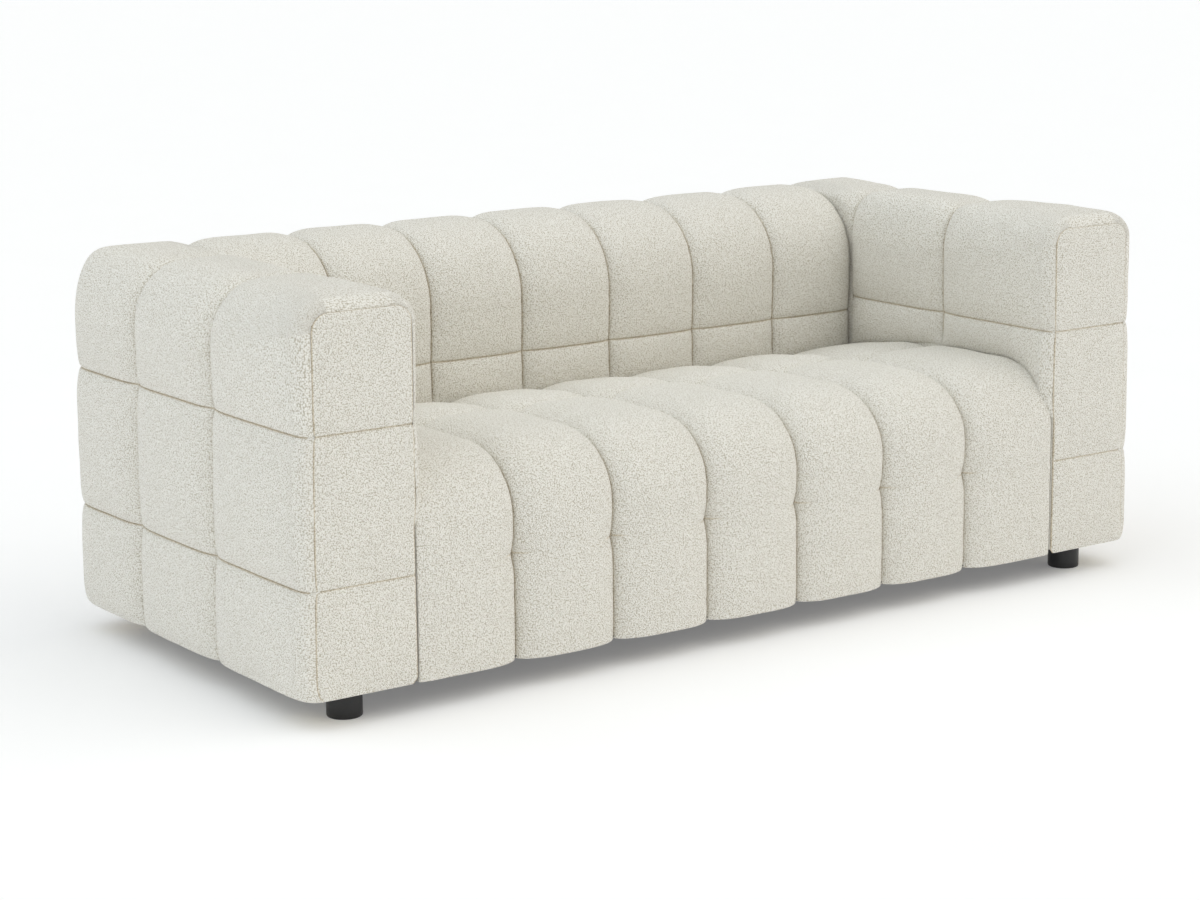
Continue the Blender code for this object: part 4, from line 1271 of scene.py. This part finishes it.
def round_wire(name, route, material):
    """A closed round wire along a route."""
    curve = bpy.data.curves.new(name, "CURVE")
    curve.dimensions = "3D"
    curve.bevel_depth = SPRING_WIRE / 2
    curve.bevel_resolution = SPRING_SIDES // 2 - 2
    curve.use_fill_caps = True
    spline = curve.splines.new("POLY")
    spline.points.add(len(route) - 1)
    for point, place in zip(spline.points, route):
        point.co = (*place, 1)
    wire = bpy.data.objects.new(name, curve)
    bpy.context.scene.collection.objects.link(wire)
    deselect()
    wire.select_set(True)
    bpy.context.view_layer.objects.active = wire
    bpy.ops.object.convert(target="MESH")
    bpy.ops.object.mode_set(mode="EDIT")
    bpy.ops.mesh.select_all(action="SELECT")
    bpy.ops.mesh.remove_doubles(threshold=WIRE_MERGE)
    return end_piece(wire, material, WIRE_SMOOTH)


def make_springs(material):
    """Zigzag springs from the front to the rear rail, bent once and copied."""
    low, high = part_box("seat_spring_1")
    first = round_wire("seat_wire_1", spring_route(low, high), material)
    for k in range(1, SPRINGS + 1):
        node = f"seat_spring_{k}"
        wire = first if k == 1 else copied(first, f"seat_wire_{k}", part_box(node)[0] - low)
        stand_for(wire, node)


def make_dust_sheet(material):
    """The sheet stapled to the rails below, cut out round the legs, sagging a little between the rails."""
    low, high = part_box("dust_sheet")
    size, middle = high - low, (low + high) / 2
    cells = [round(length / SHEET_CELL) for length in size.xy]
    sheet = start_piece(
        "dust_cloth", bpy.ops.mesh.primitive_grid_add,
        x_subdivisions=cells[0], y_subdivisions=cells[1], size=1, location=(0, 0, 0),
    )
    bpy.ops.mesh.select_all(action="SELECT")
    bpy.ops.transform.resize(value=(size.x, size.y, 1))
    bpy.ops.transform.translate(value=(middle.x, middle.y, high.z))
    area = size.x * size.y
    for end, outwards in ENDS:
        for word, side in SIDES:
            leg_low, leg_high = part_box(f"{end}_{word}_leg")
            x = leg_low.x - PLAY if side > 0 else leg_high.x + PLAY
            y = leg_low.y - PLAY if outwards > 0 else leg_high.y + PLAY
            for place, across in (((x, 0, 0), (1, 0, 0)), ((0, y, 0), (0, 1, 0))):
                bpy.ops.mesh.select_all(action="SELECT")
                bpy.ops.mesh.bisect(plane_co=place, plane_no=across)

            def beyond(face):
                centre = face.calc_center_median()
                return (centre.x - x) * side > 0 and (centre.y - y) * outwards > 0

            pick(sheet, "faces", beyond)
            bpy.ops.mesh.delete(type="FACE")
            edge = high if side > 0 else low
            end_edge = high if outwards > 0 else low
            area -= abs(edge.x - x) * abs(end_edge.y - y)
    end_piece(sheet, material)
    sag_between_rails(sheet)
    wall_of_sheet = sheet.modifiers.new("thickness", "SOLIDIFY")
    wall_of_sheet.thickness = size.z
    wall_of_sheet.offset = -1
    bpy.ops.object.modifier_apply(modifier=wall_of_sheet.name)
    lay(sheet, "dust_sheet")


def sag_between_rails(sheet):
    """Lowers the sheet in the two bays of the seat's frame, with a little ripple."""
    start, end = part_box("seat_front_rail")[1].y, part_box("seat_rear_rail")[0].y
    inner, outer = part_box("seat_centre_rail")[1].x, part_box("seat_right_rail")[0].x
    for vert in sheet.data.vertices:
        across = (abs(vert.co.x) - inner) / (outer - inner)
        along_bay = (vert.co.y - start) / (end - start)
        if 0 < across < 1 and 0 < along_bay < 1:
            hang = math.sin(math.pi * across) * math.sin(math.pi * along_bay)
            ripple = math.prod(math.sin(x * vert.co.x + y * vert.co.y) for x, y in RIPPLE_WAVES)
            vert.co.z -= hang * (SHEET_SAG + SHEET_RIPPLE * ripple)


# Finishes


class Finish:
    """A node material round one Principled shader."""

    def __init__(self, name, roughness, metallic=0.0):
        self.material = bpy.data.materials.new(name)
        self.material.use_nodes = True
        self.tree = self.material.node_tree
        self.shader = self.tree.nodes["Principled BSDF"]
        self.set(self.shader, Roughness=roughness, Metallic=metallic)
        self.place = self.add("ShaderNodeTexCoord").outputs["Object"]

    def add(self, kind, settings=None, **inputs):
        """Adds a node with its settings and inputs."""
        made = self.tree.nodes.new(kind)
        for name, value in (settings or {}).items():
            setattr(made, name, value)
        self.set(made, **inputs)
        return made

    def join(self, value, socket):
        """Links a node's output to a socket, or sets a plain value on it."""
        if isinstance(value, bpy.types.NodeSocket):
            self.tree.links.new(value, socket)
        else:
            socket.default_value = value

    def set(self, made, **inputs):
        """Fills a node's inputs by their names."""
        for name, value in inputs.items():
            self.join(value, made.inputs[name.replace("_", " ")])

    def noise(self, place, scale, detail, roughness):
        """Soft random spots."""
        made = self.add("ShaderNodeTexNoise", Vector=place, Scale=scale, Detail=detail, Roughness=roughness)
        return made.outputs["Fac"]

    def math(self, operation, *values):
        """One sum of values."""
        made = self.add("ShaderNodeMath", {"operation": operation})
        for socket, value in zip(made.inputs, values):
            self.join(value, socket)
        return made.outputs[0]

    def drawn_out(self, stretch):
        """Object coordinates, stretched along each way."""
        return self.add("ShaderNodeMapping", Vector=self.place, Scale=stretch).outputs["Vector"]

    def ramp(self, factor, *stops):
        """Colours over a factor: each stop is (place, colour)."""
        made = self.add("ShaderNodeValToRGB", Fac=factor)
        band = made.color_ramp.elements
        while len(band) < len(stops):
            band.new(0.5)
        for element, (place, colour) in zip(band, stops):
            element.position = place
            element.color = (*colour, 1)
        return made.outputs["Color"]

    def multiply(self, first, second):
        """One colour darkened by another."""
        made = self.add("ShaderNodeMix", {"data_type": "RGBA", "blend_type": "MULTIPLY"})
        made.inputs[0].default_value = 1.0
        self.tree.links.new(first, made.inputs[6])
        self.tree.links.new(second, made.inputs[7])
        return made.outputs[2]

    def bump(self, height, distance, strength):
        """Small bumps on the surface."""
        made = self.add("ShaderNodeBump", Height=height, Distance=distance, Strength=strength)
        self.set(self.shader, Normal=made.outputs["Normal"])


def loop_fabric():
    """Cream cloth of small curled loops of random tones, with painted shade in the hollows round them, and
    thread colour with painted furrow shade in the seams.
    """
    made = Finish("cream_loop_fabric", LOOP_ROUGHNESS)
    cloth = made.add("ShaderNodeAttribute", {"attribute_name": "weave"}).outputs["Vector"]
    flat = {"noise_dimensions": "2D"}
    wander = made.add("ShaderNodeTexNoise", flat, Vector=cloth, Scale=CURLS, Detail=CURL_DETAIL)
    shift = made.add("ShaderNodeVectorMath", {"operation": "MULTIPLY_ADD"})
    for value, socket in zip((wander.outputs["Color"], (CURL, CURL, CURL), cloth), shift.inputs):
        made.join(value, socket)
    flat = {"voronoi_dimensions": "2D"}
    curled = shift.outputs[0]
    loops = made.add("ShaderNodeTexVoronoi", flat, Vector=curled, Scale=LOOPS, Randomness=LOOP_UNEVENNESS)
    fibres = made.noise(made.place, *FIBRES)
    hollow = made.math("MULTIPLY_ADD", fibres, FIBRE_SHARE, loops.outputs["Distance"])
    made.bump(made.math("SUBTRACT", 1.0, hollow), LOOP_HEIGHT, LOOP_STRENGTH)
    # Painted shade: the loop tones darken from the top of each loop into the hollow beside it, over random
    # tones per loop
    depth = made.math("MULTIPLY_ADD", loops.outputs["Color"], LOOP_VARIETY, hollow)
    # Painted shade: the seams' furrows are darkened along with their thread colour, most round the panels
    stitched_and_shaded = made.add("ShaderNodeSeparateXYZ", Vector=cloth).outputs["Z"]
    tone = made.multiply(made.ramp(depth, *LOOP_TONES_AND_HOLLOW_SHADE), made.ramp(stitched_and_shaded, *THREAD_AND_FURROW_SHADE_TONES))
    made.set(made.shader, Base_Color=tone, **LOOP_SHEEN)
    return made.material


def mottled_finish(name, metallic=0.0, stretch=(1, 1, 1)):
    """A finish of two colours with fine mottling."""
    dark, light, scale, roughness, height = MOTTLED[name]
    made = Finish(name, roughness, metallic)
    mottle = made.noise(made.drawn_out(stretch), scale, MOTTLE_DETAIL, MOTTLE_ROUGHNESS)
    made.set(made.shader, Base_Color=made.ramp(mottle, (MOTTLE_DARK, dark), (MOTTLE_LIGHT, light)))
    made.bump(mottle, height, MOTTLE_STRENGTH)
    return made.material


def pine(name, stretch):
    """Planed pine with its grain along one way: growth rings drawn out, and fine fibres over them."""
    made = Finish(name, PINE_ROUGHNESS)
    drawn = made.drawn_out(stretch)
    fibres = made.math("MULTIPLY", made.noise(drawn, *PINE_FIBRES), PINE_FIBRE_SHARE)
    grain = made.math("ADD", made.noise(drawn, *PINE_RINGS), fibres)
    made.set(made.shader, Base_Color=made.ramp(grain, *PINE_TONES))
    made.bump(grain, GRAIN_HEIGHT, GRAIN_STRENGTH)
    return made.material


def lit_floor():
    """A pale sheet, faintly lit from below."""
    made = Finish("pale_floor", FLOOR_ROUGHNESS)
    clouds = made.noise(made.place, *FLOOR_CLOUDS)
    made.set(made.shader, Base_Color=made.ramp(clouds, *FLOOR_TONES))
    made.set(made.shader, Emission_Color=(1, 1, 1, 1), Emission_Strength=FLOOR_GLOW)
    return made.material


def finish_frame():
    """Gives the solids that stay their finish: pine with its grain along the piece, hardboard and steel."""
    pines = []
    for axis, word in enumerate("xyz"):
        pines.append(pine(f"pine_along_{word}", [GRAIN_DRAW if k == axis else 1 for k in range(3)]))
    hardboard = mottled_finish("hardboard")
    steel = mottled_finish("bright_steel", metallic=1.0)
    for part in frame["record"]["subparts"]:
        solid = frame["nodes"][part["node"]]
        low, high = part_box(part["node"])
        size = high - low
        longest = max(range(3), key=lambda axis: size[axis])
        finishes = {"timber": pines[longest], "board": hardboard, "steel": steel}
        if part["material_slot"] in finishes:
            for material_slot in solid.material_slots:
                material_slot.material = finishes[part["material_slot"]]
    return steel


# Studio


def make_camera():
    """A camera in the photograph's view."""
    turn, tilt, roll = (math.radians(angle) for angle in (TURN, TILT, ROLL))
    ahead = Vector((math.sin(turn) * math.cos(tilt), math.cos(turn) * math.cos(tilt), -math.sin(tilt)))
    level = Vector((math.cos(turn), -math.sin(turn), 0))
    upright = level.cross(ahead)
    right = level * math.cos(roll) + upright * math.sin(roll)
    up = upright * math.cos(roll) - level * math.sin(roll)
    camera = bpy.data.objects.new("camera", bpy.data.cameras.new("camera"))
    camera.data.sensor_width = SENSOR
    camera.data.lens = FOCAL_PIXELS / PHOTO_WIDTH * SENSOR
    camera.matrix_world = Matrix.Translation(EYE) @ Matrix((right, up, -ahead)).transposed().to_4x4()
    bpy.context.scene.collection.objects.link(camera)
    bpy.context.scene.camera = camera


def soft_light(name, towards, spread_angle, power, colour):
    """A broad even light from far off, like a large window on that side."""
    light = bpy.data.lights.new(name, "SUN")
    light.angle = math.radians(spread_angle)
    light.energy = power
    light.color = colour
    lamp = bpy.data.objects.new(name, light)
    lamp.location = Vector(towards) * LIGHT_DISTANCE
    lamp.rotation_euler = Vector(towards).to_track_quat("Z", "Y").to_euler()
    bpy.context.scene.collection.objects.link(lamp)


def make_surroundings():
    """Soft light from all round, with a white band along the horizon behind the floor."""
    world = bpy.data.worlds.new("studio")
    world.use_nodes = True
    tree = world.node_tree
    direction = tree.nodes.new("ShaderNodeTexCoord").outputs["Generated"]
    parts = tree.nodes.new("ShaderNodeSeparateXYZ")
    band = tree.nodes.new("ShaderNodeValToRGB")
    for element, (height, colour) in zip(band.color_ramp.elements, HORIZON):
        element.position = height
        element.color = (*colour, 1)
    tree.links.new(direction, parts.inputs[0])
    tree.links.new(parts.outputs["Z"], band.inputs["Fac"])
    tree.links.new(band.outputs["Color"], tree.nodes["Background"].inputs["Color"])
    bpy.context.scene.world = world


def make_studio():
    """Soft light on a plain pale floor."""
    make_surroundings()
    for name, light in LIGHTS.items():
        soft_light(name, *light)
    deselect()
    bpy.ops.mesh.primitive_plane_add(size=FLOOR_SIZE)
    floor = bpy.context.object
    floor.name = "floor"
    floor.data.materials.append(lit_floor())
    bpy.context.scene.view_settings.view_transform = "Standard"


make_covers(loop_fabric())
steel = finish_frame()
make_legs(mottled_finish("black_leg"))
make_foam(mottled_finish("upholstery_foam"))
make_springs(steel)
make_felt(mottled_finish("needled_felt"))
make_straps(mottled_finish("elastic_webbing", stretch=WEBBING_DRAW))
make_dust_sheet(mottled_finish("spunbonded_sheet"))
make_camera()
make_studio()
